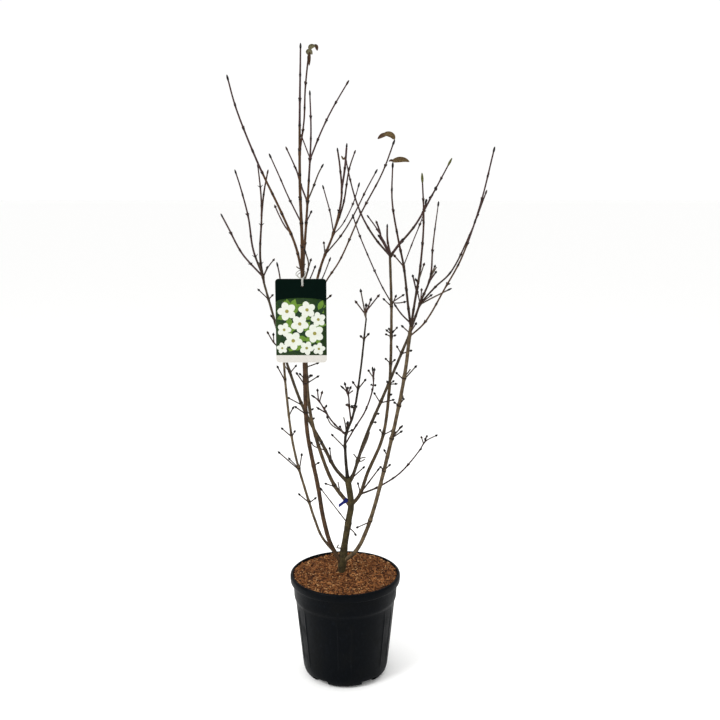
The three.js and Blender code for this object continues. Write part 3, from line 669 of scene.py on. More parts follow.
FINE_TWIGS = {
    # small twigs, budded stubs and bits of dead wood: the height on what carries them, what they
    # are, their way
    "stem_outer_left": [(766, "brown", [-143, 800, 46]), (616, "buds", [-163, 650, 34])],
    "stem_inner_left": [
        (620, "brown", [-71, 636, -18]), (872, "buds", [-128, 895, -56]), (881, "buds", [-89, 890, -30]),
    ],
    "stem_right": [
        (649, "buds", [110, 676, -50]), (1003, "red_brown", [156, 1031, -58]),
        (1003, "red_brown", [201, 1039, -92]), (705, "buds", [160, 741, -90]),
        (705, "buds", [146, 727, -56]), (798, "buds", [168, 823, -96]),
        (881, "grey", [176, 894, -70], [184, 906, -66]), (705, "buds", [165, 745, -74]),
    ],
    "bough_low_left": [
        (540, "grey", [-20, 576, -18]), (681, "buds", [-62, 699, 4]), (710, "grey", [-89, 721, 0]),
        (876, "brown", [-89, 890, -8]), (909, "brown", [-70, 925, 26]),
    ],
    "bough_high_left": [
        (670, "brown", [-88, 683, 50], [-97, 697, 44]), (756, "buds", [-83, 766, 88]),
        (773, "buds", [-87, 794, 104]), (1036, "brown", [-205, 1060, 116]),
    ],
    "bough_high_right": [
        (636, "grey", [49, 639, -6], [56, 644, -10]), (639, "grey", [47, 648, -6], [59, 650, -8]),
        (639, "grey", [49, 672, -6], [63, 705, -4], [69, 727, 2]),
        (641, "grey", [54, 679, -10], [64, 703, -8], [70, 724, -2]), (749, "buds", [92, 753, 18]),
        (773, "red_brown", [99, 779, 20]), (860, "buds", [118, 874, 2]), (640, "grey", [25, 659, -8]),
    ],
    "bough_low_right": [
        (826, "buds", [135, 835, 62]), (858, "buds", [140, 874, 60]), (858, "buds", [150, 864, 74]),
        (994, "buds", [145, 1003, 80]), (994, "buds", [112, 1006, 110]), (997, "buds", [137, 1017, 84]),
        (999, "buds", [113, 1019, 86]), (999, "buds", [122, 1023, 120]), (999, "buds", [148, 1026, 118]),
        (1088, "red_brown", [150, 1092, 92], [172, 1096, 86]), (1088, "red_brown", [167, 1117, 100]),
    ],
    "leader": [
        (718, "red_brown", [13, 726, -46], [24, 732, -56]), (721, "buds", [7, 755, -20]),
        (721, "grey", [1, 748, -44], [-3, 767, -46]), (735, "red_brown", [8, 757, -58]),
        (791, "buds", [16, 799, -80]), (791, "buds", [36, 802, -64]), (791, "buds", [27, 803, -92]),
        (989, "red_brown", [42, 1002, -108]), (989, "red_brown", [70, 1009, -132]),
        (789, "buds", [18, 803, -50]), (789, "buds", [31, 800, -90]),
    ],
    "trunk": [
        (373, "grey", [-24, 378, -16], [-19, 386, -20]), (441, "brown", [26, 424, -22], [33, 411, -28]),
    ],
    "twigs_back_left": [(1164, "buds", [-209, 1195, 150]), (1176, "grey", [-235, 1202, 150])],
    "twigs_front_left": [(779, "grey", [-80, 797, -60]), (788, "buds", [-50, 805, -84])],
    "twigs_right_star": [(1162, "grey", [253, 1191, 40]), (1088, "red_brown", [201, 1126, -24])],
    "twigs_right_top": [
        (1353, "buds", [222, 1375, 150]), (1362, "buds", [234, 1384, 168]),
        (1390, "buds", [248, 1409, 162]), (1390, "buds", [252, 1404, 178]),
    ],
    "twigs_right_upright": [(1144, "buds", [194, 1162, -48])],
    "twigs_front_right": [(857, "red_brown", [72, 863, -30]), (857, "red_brown", [87, 860, -62])],
    "twigs_front_cluster": [(833, "grey", [16, 839, -90], [23, 844, -94]), (835, "buds", [-1, 870, -92])],
    "twigs_front_top": [(1061, "buds", [60, 1093, -130])],
    "twigs_right_low": [(694, "buds", [229, 710, 94])],
    "twigs_upper_left": [(1184, "grey", [-127, 1189, -56], [-131, 1192, -58])],
    "twigs_tall_left": [(1192, "grey", [-109, 1197, -40], [-107, 1199, -38])],
}


limb_bark = {}
for bark_name, (*bark_tones, wearers) in BARKS.items():
    limb_bark.update(dict.fromkeys(wearers, bark(bark_name, *bark_tones)))
for limb_name, limb in limbs.items():
    for node_height, *_ in SIDE_TWIGS[limb_name]:
        limb.nodes.append((limb.reaching(node_height), SWELLING))
    for node_height in sorted({row[0] for row in FINE_TWIGS[limb_name]}):
        limb.nodes.append((limb.reaching(node_height), SWELLING * FINE_SWELLING))
    limb_slot = "trunk_bark" if limb_name == "trunk" else "bough_bark"
    add_piece(f"{limb_name}_wood", limb_shape(limb_name, limb), limb_bark[limb_name], [limb_name])


# The crown is bare. Each mass is a long shoot with the shoots that fork from it, olive where the
# wood is a year old and red or purple brown where it is young. Opposite buds or short spurs stand
# in pairs at the nodes, each pair turned across the last, and a pointed bud ends every shoot.
MASSES = {
    # each shoot: the limb or the number of the shoot that it grows on, the height there, now and then
    # its thickness at foot and tip, and its bends, in the measures of the limbs
    "twigs_outer_left": [
        ["stem_outer_left", 940, [-173, 1045, 42], [-177, 1162, 38], [-185, 1205, 34]],
        [0, 956, [-196, 980, 26], [-216, 1014, 14]], [1, 980, [-198, 1010, 40]],
    ],
    "twigs_tall_left": [
        ["stem_inner_left", 1182, (4.6, 2.0), [-115, 1260, -44], [-119, 1404, -54], [-118, 1560, -60],
         [-113, 1778, -62]],
        [0, 1490, (2.2, 2.1), [-106, 1582, -72], [-102, 1661, -84], [-92, 1751, -96]],
        [0, 1310, (2.1, 1.7), [-153, 1385, -30], [-173, 1432, -20], [-201, 1495, -8]],
    ],
    "twigs_upper_left": [
        ["stem_inner_left", 1166, (3.5, 1.9), [-133, 1249, -64], [-170, 1338, -86], [-231, 1469, -118],
         [-286, 1611, -140], [-309, 1698, -150]],
        [0, 1282, [-160, 1300, -68], [-175, 1328, -60], [-189, 1360, -48]],
    ],
    "twigs_second_left": [
        ["bough_low_left", 1020, [-113, 1175, 6], [-104, 1300, 18], [-95, 1424, 40], [-88, 1548, 62],
         [-90, 1658, 74]],
        [0, 1478, (2.4, 1.8), [-60, 1553, 44], [-32, 1608, 38], [14, 1684, 30]],
        [0, 1482, [-98, 1500, 72], [-115, 1546, 88]],
        [0, 1368, [-84, 1404, 54], [-69, 1442, 66], [-55, 1468, 76]],
        [0, 1366, [-118, 1416, 58], [-127, 1448, 74], [-156, 1513, 100]], [0, 1308, [-87, 1345, 0]],
        [0, 1138, [-98, 1197, -8], [-109, 1241, -20]], [0, 1144, [-98, 1190, 16], [-90, 1216, 8]],
        [0, 1122, [-92, 1164, 26], [-78, 1197, 36]],
    ],
    "twigs_middle_back": [
        ["bough_low_left", 1004, (4.0, 2.5), [-89, 1100, 40], [-62, 1200, 72], [-29, 1284, 108],
         [-7, 1380, 146], [-11, 1460, 172], [-18, 1510, 190]],
        [0, 1224, [-56, 1262, 60]],
        [0, 1284, (1.9, 1.8), [-38, 1339, 132], [-49, 1380, 152], [-58, 1412, 166]],
        [0, 1400, (3.1, 2.9), [2, 1454, 160], [8, 1522, 168]],
        [0, 1282, [-2, 1362, 150], [14, 1454, 196], [31, 1504, 222]],
        [0, 1278, (1.6, 1.6), [-6, 1305, 104], [24, 1362, 108], [42, 1419, 112]],
        [0, 1222, (2.1, 1.8), [-7, 1279, 82], [27, 1334, 84], [62, 1403, 88], [90, 1454, 90]],
        [0, 1112, (1.7, 1.7), [-60, 1161, 68], [-37, 1218, 92]],
    ],
    "twigs_middle_front": [
        ["bough_low_left", 980, (2.3, 1.8), [-81, 1084, -16], [-51, 1150, -42], [-12, 1210, -72],
         [45, 1335, -124], [103, 1444, -168], [136, 1531, -200]],
        [0, 1084, [-49, 1103, -30], [-34, 1116, -34]],
    ],
    "twigs_back_left": [
        ["bough_high_left", 1147, (3.6, 2.0), [-230, 1218, 168], [-224, 1332, 206], [-225, 1391, 226],
         [-232, 1469, 250]],
        [0, 1330, (2.9, 2.1), [-216, 1395, 204], [-204, 1453, 196]],
        [0, 1166, (3.2, 2.0), [-249, 1239, 156], [-260, 1325, 146], [-280, 1407, 136], [-294, 1453, 128]],
        [0, 1164, (3.1, 2.6), [-280, 1229, 186], [-316, 1299, 204], [-335, 1336, 214]],
        [0, 1162, [-208, 1192, 186], [-190, 1215, 200]],
    ],
    "twigs_right_inner": [
        ["bough_low_right", 1090, (1.9, 1.7), [101, 1143, 76], [61, 1231, 46], [42, 1277, 28],
         [22, 1334, 6]],
    ],
    "twigs_right_top": [
        ["bough_low_right", 1219, (3.6, 1.9), [143, 1244, 118], [194, 1306, 142], [245, 1398, 172],
         [290, 1483, 196]],
        [0, 1220, [86, 1267, 128], [52, 1322, 154], [26, 1390, 184], [4, 1482, 214]],
        [0, 1222, (3.2, 2.6), [118, 1264, 142], [117, 1308, 168]],
        [0, 1220, (2.9, 2.9), [102, 1265, 98], [91, 1280, 90]],
        [3, 1267, (2.5, 2.6), [98, 1284, 92], [86, 1318, 84]],
        [0, 1223, [88, 1296, 188], [62, 1332, 226]], [0, 1229, (3.8, 3.8), [163, 1271, 112]],
        [0, 1337, [224, 1375, 184]],
    ],
    "twigs_right_low": [
        ["bough_low_right", 538, (3.0, 1.6), [98, 563, 42], [157, 603, 62], [213, 671, 86],
         [228, 696, 92], [265, 717, 100]],
        [0, 690, [216, 713, 78]], [0, 696, [234, 716, 112]],
    ],
    "twigs_right_star": [
        ["bough_high_right", 996, (3.6, 1.3), [212, 1099, 24], [236, 1162, 38], [242, 1249, 52],
         [256, 1369, 66]],
        [0, 1092, [213, 1134, 4]], [0, 1152, (2.6, 2.0), [250, 1198, 66]],
        [0, 1150, (2.8, 2.2), [254, 1181, 12]],
        [0, 1090, (2.6, 1.9), [250, 1136, 42], [292, 1177, 66], [344, 1284, 104], [386, 1399, 130]],
        [0, 1090, [244, 1117, 18]], [0, 1086, [244, 1107, 14], [296, 1133, 22]],
    ],
    "twigs_right_front": [
        ["stem_right", 1026, (3.4, 1.6), [176, 1084, -96], [163, 1192, -134], [148, 1263, -160],
         [130, 1370, -200], [131, 1472, -236]],
        [0, 1190, [133, 1227, -128]],
        [0, 1192, (1.4, 1.4), [185, 1254, -132], [217, 1340, -122], [222, 1375, -116]],
        [0, 1036, [157, 1062, -112], [137, 1090, -130]],
    ],
    "twigs_right_upright": [
        ["stem_right", 1010, [195, 1100, -60], [206, 1170, -50], [216, 1310, -30], [210, 1444, -12]],
        [0, 1150, [220, 1204, -72]], [0, 1122, (2.4, 2.1), [187, 1171, -96]],
    ],
    "twigs_far_right": [
        ["stem_right", 994, (2.3, 2.0), [222, 1037, -86], [277, 1133, -104], [321, 1216, -116],
         [368, 1357, -124], [404, 1513, -128]],
    ],
    "twigs_front_top": [
        ["leader", 1048, [44, 1132, -152]], [0, 1059, [28, 1100, -124]], [0, 1063, [62, 1090, -160]],
        [0, 1056, [75, 1108, -140]], [3, 1072, [98, 1117, -128]],
    ],
    "twigs_front_left": [
        ["leader", 714, [-34, 753, -62], [-53, 781, -76], [-74, 816, -88], [-95, 832, -96]],
        [0, 781, [-61, 799, -58]], [0, 778, [-80, 796, -64]], [0, 816, [-77, 851, -104]],
        [0, 812, [-62, 845, -76]], [0, 722, [-40, 748, -44], [-52, 774, -40]], [0, 724, [-15, 743, -68]],
    ],
    "twigs_front_cluster": [
        ["leader", 754, [13, 794, -74], [8, 837, -92], [-12, 859, -102]], [0, 796, [2, 806, -60]],
        [0, 836, [9, 856, -112]], [0, 834, [19, 859, -86]],
    ],
    "twigs_front_right": [
        ["leader", 686, (2.3, 2.0), [28, 736, -12], [58, 786, -14], [80, 858, -30], [78, 913, -46]],
        [0, 880, [65, 905, -62]], [0, 876, [84, 911, -24]],
    ],
}

SHOOT_SIDES = 8
SHOOT_ROW = 0.006
TWIG_TIP = 0.0019
TWIG_GROWTH = 0.0036
SHOOT_TAPER = 1.2
NODE_STEP = 0.06
SHORT_SHOOT = 0.095
LONG_SHOOT = 0.16
BUD_LENGTH = 0.015
BUD_WIDTH = 0.0036
TIP_BUD_WIDTH = 0.0029
SLIM_BUD = [(0, 0.6), (0.16, 0.85), (0.4, 1), (0.66, 0.86), (0.88, 0.58), (1, 0.25)]
ONION_BUD = [(0, 0.5), (0.14, 0.88), (0.36, 1), (0.56, 0.8), (0.74, 0.4), (1, 0.08)]
BUD_OVERLAP = 0.001
SPUR_SEED = 20
DETAIL_SEED = 77
SPUR_CHANCE = 0.22
SPUR_LENGTH = (0.007, 0.012)
SPUR_LEAN = math.radians(36)
SPUR_FOOT = 0.0017
SPUR_NECK = 0.0017
SPUR_BUD_LENGTH = 0.0105
SPUR_BUD_WIDTH = 0.0023
SPUR_BUD_SHARE = 0.62
SPUR_OVERLAP = 0.07
NO_SPURS = ("twigs_middle_front", "twigs_right_inner")
SPUR_CLEAR = 0.006
SIDE_BUD_LENGTH = (0.005, 0.0072)
SIDE_BUD_WIDTH = 0.0012
SIDE_BUD_LEAN = math.radians(15)
SIDE_BUD_SUNK = 0.8
SPREAD_BUDS = ("twigs_back_left",)
SPREAD_BUD_LEAN = math.radians(45)
SPREAD_BUD_GROWTH = 1.25
NODE_SWELL = 0.0006
FORK_SWELL = 0.0007
SCAR_LENGTH = 0.004
SCAR_RISE = 0.0003
SCAR_SIDES = 12
TWIG_LUMP_SIZE, TWIG_LUMP_FINENESS = 0.00016, 260
YOUNG_LENGTH = 0.26
OLIVE_HEIGHT = 1.5
RED_SHARE = 0.5
LIVE_SHARE = 0.7
WOOD_STEP = 0.01
ACROSS = Vector((1, 0, 0))
WOODS = {
    "olive": (tone(72, 49, 28), tone(50, 33, 19)),
    "brown": (tone(52, 36, 26), tone(38, 27, 19)),
    "red_brown": (tone(56, 34, 25), tone(41, 25, 19)),
    "purple": (tone(60, 40, 38), tone(46, 31, 30)),
    "grey": (tone(80, 69, 58), tone(54, 46, 38)),
    # the rings at the nodes: leaf and bud scars, darkened with painted shade
    "scar_and_shade": (tone(34, 23, 17), tone(18, 12, 9)),
}
BUDS = {
    "dark": (tone(20, 13, 11), tone(9, 6, 6)),
    "brown": (tone(52, 33, 24), tone(29, 19, 15)),
    "olive": (tone(84, 88, 38), tone(52, 48, 24)),
}
TIP_BUDS = ["dark", "brown", "dark"]
OLIVE_BUD_LENGTH = 0.026
OLIVE_BUD_WIDTH = 0.0036
OLIVE_TIPS = {("twigs_right_upright", 0), ("twigs_right_top", 0)}
ONION_TIPS = {("twigs_right_low", 0)}


class Shoot(Stem):
    """A shoot: thin for its length, with nodes at even steps and a bud at its tip."""

    def __init__(self, start, way, mass=None):
        thickness = way.pop(0) if isinstance(way[0], tuple) else None
        super().__init__([start, *map(spread, way)], 0, TWIG_TIP, SHOOT_TAPER)
        self.mass = mass
        self.short = self.length < SHORT_SHOOT
        self.tip = SPUR_NECK if self.short else TWIG_TIP
        self.foot = self.tip + TWIG_GROWTH * self.length
        if thickness:
            self.foot, self.tip = (size * MM for size in thickness)
        bud_length = SPUR_BUD_LENGTH if self.short else BUD_LENGTH
        self.bud_foot = self.length - min(bud_length, self.length / 2)
        steps = max(1, round(self.bud_foot / NODE_STEP))
        self.joints = [self.bud_foot * step / steps for step in range(1, steps)]
        self.nodes = [(joint, NODE_SWELL) for joint in self.joints]


def twig(kind, points, radii, sides=SHOOT_SIDES):
    """Adds a length of twig, with a slight unevenness."""
    part = tube(points, radii, sides)
    part.normal_update()
    for vert in part.verts:
        vert.co += vert.normal * noise.noise(vert.co * TWIG_LUMP_FINENESS) * TWIG_LUMP_SIZE
    twigs[kind].add(part)


def bud(kind, start, direction, length, width, outline=SLIM_BUD, sides=6):
    points = [start + direction * (length * part) for part, _ in outline]
    buds[kind].add(tube(points, [width * thick for _, thick in outline], sides))


def scar_and_shade(stem, along):
    """A dark ring of old leaf and bud scars round a stem, darkened further by painted shade at the node."""
    points, radii = stem.rows(SCAR_LENGTH / 4, along - SCAR_LENGTH / 2, along + SCAR_LENGTH / 2)
    rise = [SCAR_RISE * math.sin(math.pi * row / (len(radii) - 1)) for row in range(len(radii))]
    twig("scar_and_shade", points, [radius + more for radius, more in zip(radii, rise)], SCAR_SIDES)


def budded_spur(foot, tip, width=BUD_WIDTH):
    """A short stalk that ends in a bud shaped like an onion."""
    lean = (tip - foot).normalized()
    length = (tip - foot).length
    bud_length = min(length * SPUR_BUD_SHARE, SPUR_BUD_LENGTH)
    neck = tip - lean * bud_length
    twig("brown", [foot, neck + lean * (length * SPUR_OVERLAP)], [SPUR_FOOT, SPUR_NECK], 6)
    bud("dark", neck, lean, bud_length, width, ONION_BUD)


def grow_node(shoot, joint, after, turn, draw, space=None):
    """A pair of short spurs where chance has them and there is room, or else a pair of small buds."""
    place, _ = shoot.at(joint)
    ahead = (shoot.at(after)[0] - place).normalized()
    side = Matrix.Rotation(turn, 3, ahead) @ ahead.cross(ACROSS).normalized()
    grows = space and next(draw) < SPUR_CHANCE and shoot.mass not in NO_SPURS
    angle, growth = (SPREAD_BUD_LEAN, SPREAD_BUD_GROWTH) if shoot.mass in SPREAD_BUDS else (SIDE_BUD_LEAN, 1)
    for out in (-side, side):
        length = between(*(SPUR_LENGTH if space else SIDE_BUD_LENGTH), next(draw))
        spur_tip = place + (ahead * math.cos(SPUR_LEAN) + out * math.sin(SPUR_LEAN)) * length
        if grows and has_room(spur_tip, shoot, space):
            budded_spur(place, spur_tip, SPUR_BUD_WIDTH)
        else:
            lean = ahead * math.cos(angle) + out * math.sin(angle)
            foot = place + out * (shoot.radius(joint) * SIDE_BUD_SUNK)
            bud("dark", foot, lean, between(*SIDE_BUD_LENGTH, next(detail)) * growth, SIDE_BUD_WIDTH)


def has_room(point, shoot, space):
    low, high = space
    inside = all(low[axis] < point[axis] < high[axis] for axis in range(3))
    near = wood_places.find_range(point, SPUR_CLEAR)
    return inside and all(wood_owners[index] == shoot.mass for _, index, _ in near)


def wood_kinds(shoot):
    """The kinds of the year-old and of the young wood of a shoot, dealt out by its height."""
    high = outline_height(shoot.points[-1]) > OLIVE_HEIGHT
    young = "red_brown" if next(detail) < RED_SHARE else "purple"
    if shoot.length < LONG_SHOOT:
        return (young, young) if next(detail) < LIVE_SHARE else ("grey", "grey")
    return ("olive" if high else "brown"), young


def make_shoot(shoot, kinds=None, bud_kind="dark"):
    old, young = kinds or wood_kinds(shoot)
    change = max(0, shoot.length - YOUNG_LENGTH)
    marks = [joint for joint in shoot.joints if joint > change]
    change = marks[0] if change and marks else 0
    end = shoot.bud_foot + BUD_OVERLAP
    if change:
        twig(old, *shoot.rows(SHOOT_ROW, end=change))
    twig(young, *shoot.rows(SHOOT_ROW, change, end))
    tip, direction = shoot.at(shoot.bud_foot)
    length = shoot.length - shoot.bud_foot
    width, outline = (BUD_WIDTH, ONION_BUD) if shoot.short else (TIP_BUD_WIDTH, SLIM_BUD)
    if bud_kind == "olive":
        width = OLIVE_BUD_WIDTH
    bud(bud_kind, tip, direction, length, width, outline, sides=8)


spurs = seeded(SPUR_SEED)
detail = seeded(DETAIL_SEED)
twigs = {kind: Sheaf() for kind in WOODS}
buds = {kind: Sheaf() for kind in BUDS}
masses = {}
for mass_name, shoot_rows in MASSES.items():
    shoots = []
    for on, height, *way in shoot_rows:
        parent = shoots[on] if isinstance(on, int) else limbs[on]
        fork = parent.reaching(height)
        shoots.append(Shoot(parent.at(fork)[0], way, mass_name))
        if parent in shoots:
            parent.nodes.append((fork, FORK_SWELL))
    masses[mass_name] = shoots

wood_stems = [(name, limb) for name, limb in limbs.items()]
wood_stems += [(name, shoot) for name, shoots in masses.items() for shoot in shoots]
wood_points = [(point, name) for name, stem in wood_stems for point in stem.rows(WOOD_STEP)[0]]
wood_owners = [name for _, name in wood_points]
wood_places = KDTree(len(wood_points))
for index, (point, _) in enumerate(wood_points):
    wood_places.insert(point, index)
wood_places.balance()

for mass_name, shoots in masses.items():
    points = [point for shoot in shoots for point in shoot.points]
    mass_space = [[edge(point[axis] for point in points) for axis in range(3)] for edge in (min, max)]
    for number, shoot in enumerate(shoots):
        bud_kind = "olive" if (mass_name, number) in OLIVE_TIPS else TIP_BUDS[number % len(TIP_BUDS)]
        if bud_kind == "olive":
            shoot.bud_foot = shoot.length - OLIVE_BUD_LENGTH
        if (mass_name, number) in ONION_TIPS:
            shoot.short = True
            shoot.bud_foot = shoot.length - SPUR_BUD_LENGTH
        make_shoot(shoot, bud_kind=bud_kind)
        long = shoot.length > LONG_SHOOT
        draw = spurs if long else detail
        turn = next(draw) * math.pi
        for joint, after in zip(shoot.joints, [*shoot.joints[1:], shoot.bud_foot]):
            scar_and_shade(shoot, joint)
            grow_node(shoot, joint, after, turn, draw, mass_space if long else None)
            turn += math.pi / 2


# Short side twigs stand in pairs at the nodes of the bare limbs, each with its bud. A few thin dead
# ones are grey and have none.
SIDE_TWIG_SUNK = 4
BROWN_SHARE = 0.6
crown_nodes = list(MASSES)
for limb_name, rows in SIDE_TWIGS.items():
    limb = limbs[limb_name]
    for number, (node_height, *tips) in enumerate(rows, 1):
        place = limb_name.split("_", 1)[-1] + (f"_{number}" if len(rows) > 1 else "")
        crown_nodes.append(f"side_twigs_{place}")
        start = limb.at(limb.reaching(node_height - SIDE_TWIG_SUNK))[0]
        scar_and_shade(limb, limb.reaching(node_height))
        sizes = [part for part in tips if isinstance(part, tuple)]
        for tip in tips[len(sizes):]:
            side_twig = Shoot(start, [*sizes, tip])
            make_shoot(side_twig, ("brown", "brown" if next(detail) < BROWN_SHARE else "red_brown"))
for carrier_name, rows in FINE_TWIGS.items():
    carrier = limbs[carrier_name] if carrier_name in limbs else masses[carrier_name][0]
    for node_height, kind, *way in rows:
        start = carrier.at(carrier.reaching(node_height))[0]
        if kind == "buds":
            budded_spur(start, spread(way[0]))
        elif kind == "grey":
            twig("grey", *Shoot(start, way).rows(SHOOT_ROW), sides=6)
        else:
            make_shoot(Shoot(start, way), (kind, kind))


def wood_finish(name, light, dark):
    """Smooth thin bark with fine pale pores."""
    finish = Finish(name)
    mottle = finish.spots(finish.grain(70.0, 4.0), 0.3, 0.7)
    pores = finish.spots(finish.grain(1100.0, 1.0), 0.68, 0.76)
    colour = finish.blend(mottle, dark, light)
    return finish.surface({
        "Base Color": finish.blend(pores * 0.2, colour, tone(110, 92, 72)),
        "Roughness": 0.62 + mottle * 0.12,
        "Specular IOR Level": 0.15,
        "Normal": finish.bump(mottle + pores * 0.5, 0.0004, 0.7),
    })


for kind, shades in WOODS.items():
    add_piece(f"twigs_{kind}", twigs[kind], wood_finish(f"{kind}_twig_bark", *shades),
              crown_nodes if kind == "brown" else [])
for kind, shades in BUDS.items():
    felted = dry_finish(f"{kind}_bud_scales", *shades, (700.0, 3.0), (0.35, 0.7), 0.6, 0.15, 0.0003, 0.6)
    add_piece(f"buds_{kind}", buds[kind], felted)


# A handful of withered leaves still hang on near the tips: dry, thin blades of olive brown that have
# curled up round their midribs. Each is a grid bent along its midrib and then thickened.
LEAF_THICK = 0.0004
LEAF_EDGE = 0.0004
LEAF_RIPPLE, LEAF_RIPPLE_FINENESS = 0.0008, 300
LEAF_ROWS = 14
LEAF_COLUMNS = 6
AWAY = Vector((0, 1, 0))
WITHERED_LEAVES = {
    # the light and dark of each colour, and the half width, curl and way of each blade
    "pale_olive": (tone(112, 108, 80), tone(66, 58, 40), [
        (0.0062, 1.4, (-90, 1760, -94), (-86, 1768, -92), (-80, 1770, -91), (-74, 1769, -90)),
        (0.0074, 1.6, (-96, 1749, -98), (-90, 1756, -102), (-82, 1749, -104))]),
    "olive_brown": (tone(92, 76, 44), tone(58, 42, 24), [
        (0.0068, 1.4, (136, 1531, -200), (128, 1542, -199), (114, 1546, -196), (103, 1542, -193)),
        (0.0066, 1.4, (129, 1474, -236), (138, 1477, -238), (150, 1479, -238), (164, 1478, -237),
         (176, 1473, -236)),
        (0.0026, 1.0, (-7, 1489, 180), (-1, 1480, 178), (4, 1488, 178))]),
    "brown": (tone(78, 54, 34), tone(46, 30, 20), [
        (0.0052, 2.2, (-80, 1771, -90), (-72, 1769, -88), (-69, 1758, -87)),
        (0.0048, 2.8, (-90, 1756, -108), (-90, 1742, -104), (-91, 1720, -98)),
        (0.0054, 1.6, (117, 1545, -196), (103, 1542, -193), (90, 1533, -190)),
        (0.0028, 1.8, (133, 1474, -236), (127, 1477, -237), (120, 1474, -238))]),
}


def thickened(shape, thickness):
    """A sheet with its faces turned one way, given its wall."""
    bmesh.ops.recalc_face_normals(shape, faces=shape.faces[:])
    bmesh.ops.solidify(shape, geom=shape.faces[:], thickness=thickness)
    return shape


def withered_blade(way, half_width, curl):
    """A blade along a path: widest before its middle, its two halves rolled up round the midrib."""
    path = Stem([spread(place) for place in way], 1, 1)
    shape = bmesh.new()
    bmesh.ops.create_grid(shape, x_segments=LEAF_COLUMNS, y_segments=LEAF_ROWS, size=1)
    places = [path.at(path.length * row / LEAF_ROWS) for row in range(LEAF_ROWS + 1)]
    points = [point for point, _ in places]
    sides = [ahead.cross(AWAY).normalized() for _, ahead in places]
    frames = [Matrix((side, ahead.cross(side), ahead)).transposed()
              for side, (_, ahead) in zip(sides, places)]
    for vert in shape.verts:
        row = round((vert.co.y + 1) / 2 * LEAF_ROWS)
        part = row / LEAF_ROWS
        width = half_width * math.sin(math.pi * part ** 0.8) ** 0.7 + LEAF_EDGE
        bend = vert.co.x * curl / 2
        across = math.sin(bend) / (curl / 2) * width
        lift = (1 - math.cos(bend)) / (curl / 2) * width
        ripple = noise.noise(points[row] * LEAF_RIPPLE_FINENESS + vert.co * 2) * LEAF_RIPPLE
        vert.co = points[row] + frames[row] @ Vector((across, lift + ripple, 0))
    return thickened(shape, LEAF_THICK)


for leaf_tone, (light, dark, blades) in WITHERED_LEAVES.items():
    leaves = Sheaf()
    for half_width, curl, *way in blades:
        leaves.add(withered_blade(way, half_width, curl))
    leaf_finish = dry_finish(f"{leaf_tone}_leaf", light, dark, (380.0, 5.0), (0.35, 0.7), 0.7, 0.2, 0.0006)
    add_piece(f"withered_leaves_{leaf_tone}", leaves, leaf_finish, sharp=60)


# The picture card is a stiff printed plastic sheet with rounded corners, hung by a hole. Over a pale
# card lie a leafy green ground, white blossoms and a dark band with an arched lower edge.
CARD_LOW, CARD_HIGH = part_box("label_card")
CARD_MIDDLE = (CARD_LOW + CARD_HIGH) / 2
CARD_WIDTH = CARD_HIGH.x - CARD_LOW.x
CARD_HEIGHT = CARD_HIGH.z - CARD_LOW.z
CARD_THICK = CARD_HIGH.y - CARD_LOW.y
CARD_CORNER = 0.009
HOLE_RADIUS = 0.0032
HOLE_FROM_LEFT = 0.073
HOLE_FROM_TOP = 0.019
PRINT_INSET = 0.0002
PRINT_THICK = 0.00012
BAND_DEPTH = 0.063
BAND_ARCH = 0.012
BAND_CUTS = 30
BAND_LAYER = 3.4
STRIP_HEIGHT = 0.020
GROUND_TUCK = 0.004
PICTURE_SEED = 311
PICTURE_LEAVES = 120
PICTURE_LEAF_LENGTH = (0.020, 0.036)
PICTURE_LEAF_BREADTH = 0.26
PICTURE_TUCK = 0.010
BLOSSOM_LAYER = 2.2
PETALS = 5
PETAL_SIZE = (0.5, 0.40)
PETAL_REACH = 0.52
PETAL_STEP = 0.1
HEART_SIZE = 0.2
HEART_THICK = 1.5
DISC_SIDES = {"leaf": 12, "petal": 14, "heart": 12}
BLOSSOMS = [
    # across and up from the card's middle, and size, in millimetres
    (-38, 26, 25), (16, 30, 23), (46, 4, 20), (-4, -8, 24), (-46, -24, 19), (36, -34, 25),
    (-22, -54, 25), (14, -74, 19), (47, -76, 17), (-52, -74, 15),
]


def card_face(inset, low=0.0, high=0.0):
    """The card's outline as one face with rounded corners, less strips at its foot and top."""
    shape = bmesh.new()
    bmesh.ops.create_grid(shape, x_segments=1, y_segments=1, size=0.5)
    bmesh.ops.scale(shape, vec=(CARD_WIDTH - 2 * inset, CARD_HEIGHT - 2 * inset, 1), verts=shape.verts[:])
    bmesh.ops.bevel(shape, geom=shape.verts[:], offset=CARD_CORNER - inset, segments=6, profile=0.5,
                    affect="VERTICES", material=-1)
    if low:
        cut_card(shape, low - CARD_HEIGHT / 2, -1)
    if high:
        cut_card(shape, CARD_HEIGHT / 2 - high, 1)
    return shape


def cut_card(shape, level, keep_below):
    geom = shape.verts[:] + shape.edges[:] + shape.faces[:]
    bmesh.ops.bisect_plane(shape, geom=geom, plane_co=(0, level, 0), plane_no=(0, keep_below, 0),
                           clear_outer=True)


def hang(shape, depth, thick):
    """Gives a flat shape its thickness and stands it on the card, a depth in front of its middle."""
    grown = bmesh.ops.extrude_face_region(shape, geom=shape.faces[:])["geom"]
    lifted = [part for part in grown if isinstance(part, bmesh.types.BMVert)]
    bmesh.ops.translate(shape, vec=(0, 0, thick), verts=lifted)
    upright = Matrix.Translation(CARD_MIDDLE) @ Matrix.Rotation(math.pi / 2, 4, "X")
    bmesh.ops.transform(shape, matrix=upright @ Matrix.Translation((0, 0, depth)), verts=shape.verts[:])
    return shape


